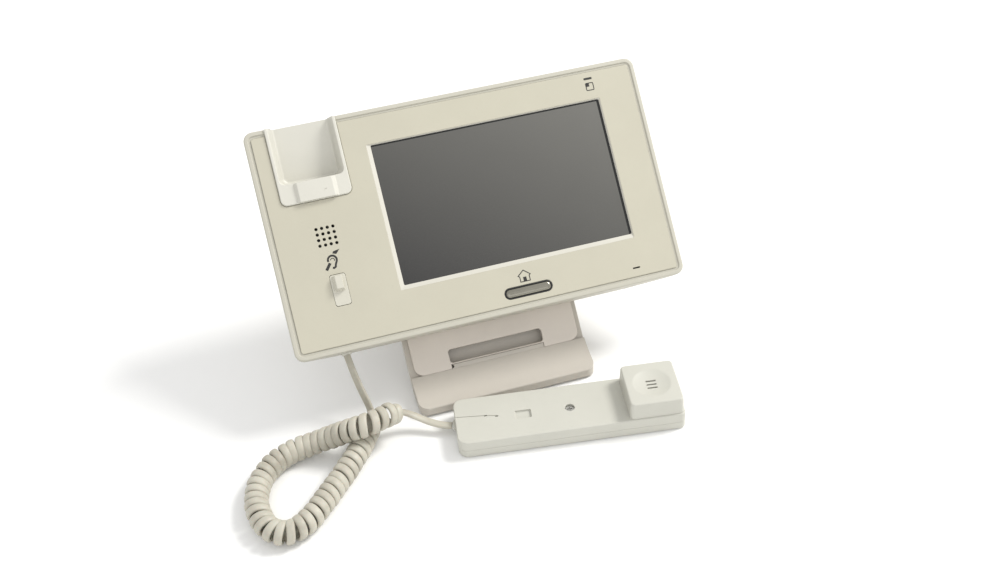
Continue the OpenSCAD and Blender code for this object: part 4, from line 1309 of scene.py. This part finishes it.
def block_outline(inset, z=HS_H + EAR_H):
    """The earpiece block stands inside the grip's edge, and draws in a little as it rises."""
    draft = EAR_DRAFT * (z - HS_H) / EAR_H
    length = EAR_LEN - EAR_LEDGE - 2 * (inset + draft)
    width = HS_W - 2 * EAR_LEDGE - 2 * (inset + draft)
    return rounded(length, width, max(2.8 - inset, 0.5), (EAR_X + (EAR_LEN - EAR_LEDGE) / 2, 0))


def dish_cutter(top):
    """Shallow spherical dish of the earpiece, its rim eased."""
    ball = (DISH_R ** 2 + DISH_D ** 2) / (2 * DISH_D)
    loops = []
    for step in range(1, 10):
        reach = DISH_R * step / 9
        drop = ball - DISH_D - math.sqrt(ball ** 2 - reach ** 2)
        loops.append(at_height(circle(reach, (DISH_X, 0), 48), top + drop))
    loops.append(at_height(circle(DISH_R + 0.35, (DISH_X, 0), 48), top + 0.03))
    loops.append(at_height(circle(DISH_R + 0.35, (DISH_X, 0), 48), top + 3))
    return loft("dish", loops)


def cord_entry():
    return box("entry", (-1, 3), (CORD_ENTRY_Y - 3.6, CORD_ENTRY_Y + 3.6),
               (HS_SPLIT - 2.4, HS_SPLIT + 2.4))


def make_handset_front():
    top = HS_H + EAR_H
    shell = slab("handset_upper", handset_outline, HS_SPLIT, HS_H, low_edge=SPLIT_EDGE,
                 high_edge=0.9, steps=5)
    block = [at_height(block_outline(0, HS_H), z) for z in (HS_H - 2, HS_H)]
    block += rim_loops(block_outline, top, BLOCK_EDGE, 5)
    join(shell, loft("block", block))
    recess = hollow("recess", small_opening(HOOK_RECESS_SIZE, 0.8, HOOK_RECESS, 3),
                    HS_H - HOOK_RECESS_D, HS_H, floor_edge=0.8, rim_edge=0.3)
    hole_r, hole_d = HS_SCREW_HOLE
    screw_hole = hollow("screw_hole", lambda inset: circle(hole_r - inset, (SCREW_X, -0.6), 32),
                        HS_H - hole_d, HS_H, rim_edge=0.3)
    slots = [hollow("slot", small_opening(SOUND_SLOT, 0.5, (DISH_X, row), 4),
                    top - 6, top - DISH_D + 0.1, rim_edge=0.12) for row in SOUND_ROWS]
    pin_holes = [hollow("pin_hole", small_opening(PIN_HOLE, 0.5, place, 4),
                        HS_H - 3, HS_H, rim_edge=0.12) for place in PIN_HOLE_PLACES]
    groove = prism("groove", [(-0.5, 3.78), (18.6, 2.0), (26.8, 0.7), (26.8, 1.2), (18.6, 2.5),
                              (-0.5, 4.23)], HS_H - 0.5, HS_H + 1)
    cut(shell, dish_cutter(top), recess, screw_hole, *slots, *pin_holes, groove, cord_entry())
    fit(smooth(shell), HANDSET, "handset", HANDSET_WHITE, "white_plastic", "handset_front_shell")


def make_handset_back():
    shell = slab("handset_lower", handset_outline, 0, HS_SPLIT, low_edge=1.2,
                 high_edge=SPLIT_EDGE, steps=5)
    cut(shell, cord_entry())
    fit(smooth(shell), HANDSET, "handset", HANDSET_WHITE, "white_plastic", "handset_back_shell")


def make_grommet():
    """Strain relief at the handset's mouth end."""
    middle = (CORD_ENTRY_Y, HS_SPLIT)
    loops = [[Vector((x, y, z)) for y, z in relief_outline(width, thickness, middle)]
             for x, width, thickness in relief_stages(2.1, -0.3, 3.4)]
    grommet = loft("handset_strain_relief", loops)
    fit(smooth(grommet), HANDSET, "handset", HANDSET_WHITE, "white_plastic", "handset_grommet")


make_handset_front()
make_handset_back()
make_grommet()


# ---- Inner and small pieces that keep their CAD shape ----

NODE_MATERIALS = [
    (RIM, "front_frame"),
    (CREAM, "front_plate"),
    (WHITE, "handset_cradle cord_gland"),
    (HOUSING, "rear_housing"),
    (STAND, "stand_base rear_leg"),
    (STAND_PLATE_PAINTED_LIGHT, "stand_plate"),
    (LEVER_SHELL, "hook_lever"),
    (HANDSET_WHITE, "handset_front_shell handset_back_shell handset_grommet"),
    (GLASS, "touch_glass"),
    (LENS_SMOKE, "status_led_lens"),
    (CHROME, "home_button"),
    (BOARD, "main_board audio_board"),
    (RUBBER, "glass_gasket front_foot_pad leg_foot_strip"),
    (BLACK, "lcd_module monitor_speaker monitor_microphone home_switch hook_switch "
            "terminal_block earpiece_speaker handset_microphone"),
    (STEEL, "lcd_chassis hook_lever_pin hook_spring mounting_bracket bracket_screws "
            "housing_screws stand_screws leg_pin handset_weight handset_screw")]


def finish_nodes():
    for material, names in NODE_MATERIALS:
        for name in names.split():
            mesh = frame["nodes"][name].data
            mesh.materials.clear()
            mesh.materials.append(material)


finish_nodes()


# ---- Floor and light ----

def make_floor():
    build = bmesh.new()
    bmesh.ops.create_grid(build, x_segments=8, y_segments=8, size=15)
    bmesh.ops.translate(build, vec=(0, 0, -0.0002), verts=build.verts)
    floor = object_of("floor", build)
    nodes = Nodes("pale_floor")
    nodes.colour(nodes.mix(nodes.noise(6, 3), tone(243, 243, 242), tone(247, 247, 246)))
    nodes.set(Roughness=0.85)
    nodes.set(Specular_IOR_Level=0.1)
    floor.data.materials.append(nodes.material)


def area_light(name, place, target, size, power, colour=(1, 1, 1)):
    data = bpy.data.lights.new(name, "AREA")
    data.shape = "DISK"
    data.size = size
    data.energy = power
    data.color = colour
    light = bpy.data.objects.new(name, data)
    bpy.context.collection.objects.link(light)
    light.location = place
    aim = Vector(target) - Vector(place)
    light.rotation_mode = "QUATERNION"
    light.rotation_quaternion = aim.to_track_quat("-Z", "Y")


def make_light():
    scene = bpy.context.scene
    scene.view_settings.view_transform = "Standard"
    world = bpy.data.worlds.new("studio")
    world.use_nodes = True
    background = world.node_tree.nodes["Background"]
    background.inputs["Color"].default_value = (1, 1, 1, 1)
    background.inputs["Strength"].default_value = 0.9
    scene.world = world
    middle = (0, 0.03, 0.06)
    area_light("key", (1.8, 0.15, 2.0), middle, 0.9, 53, (1, 0.99, 0.97))
    area_light("front", (-0.3, -2.4, 1.6), middle, 2.2, 7)


make_floor()
make_light()
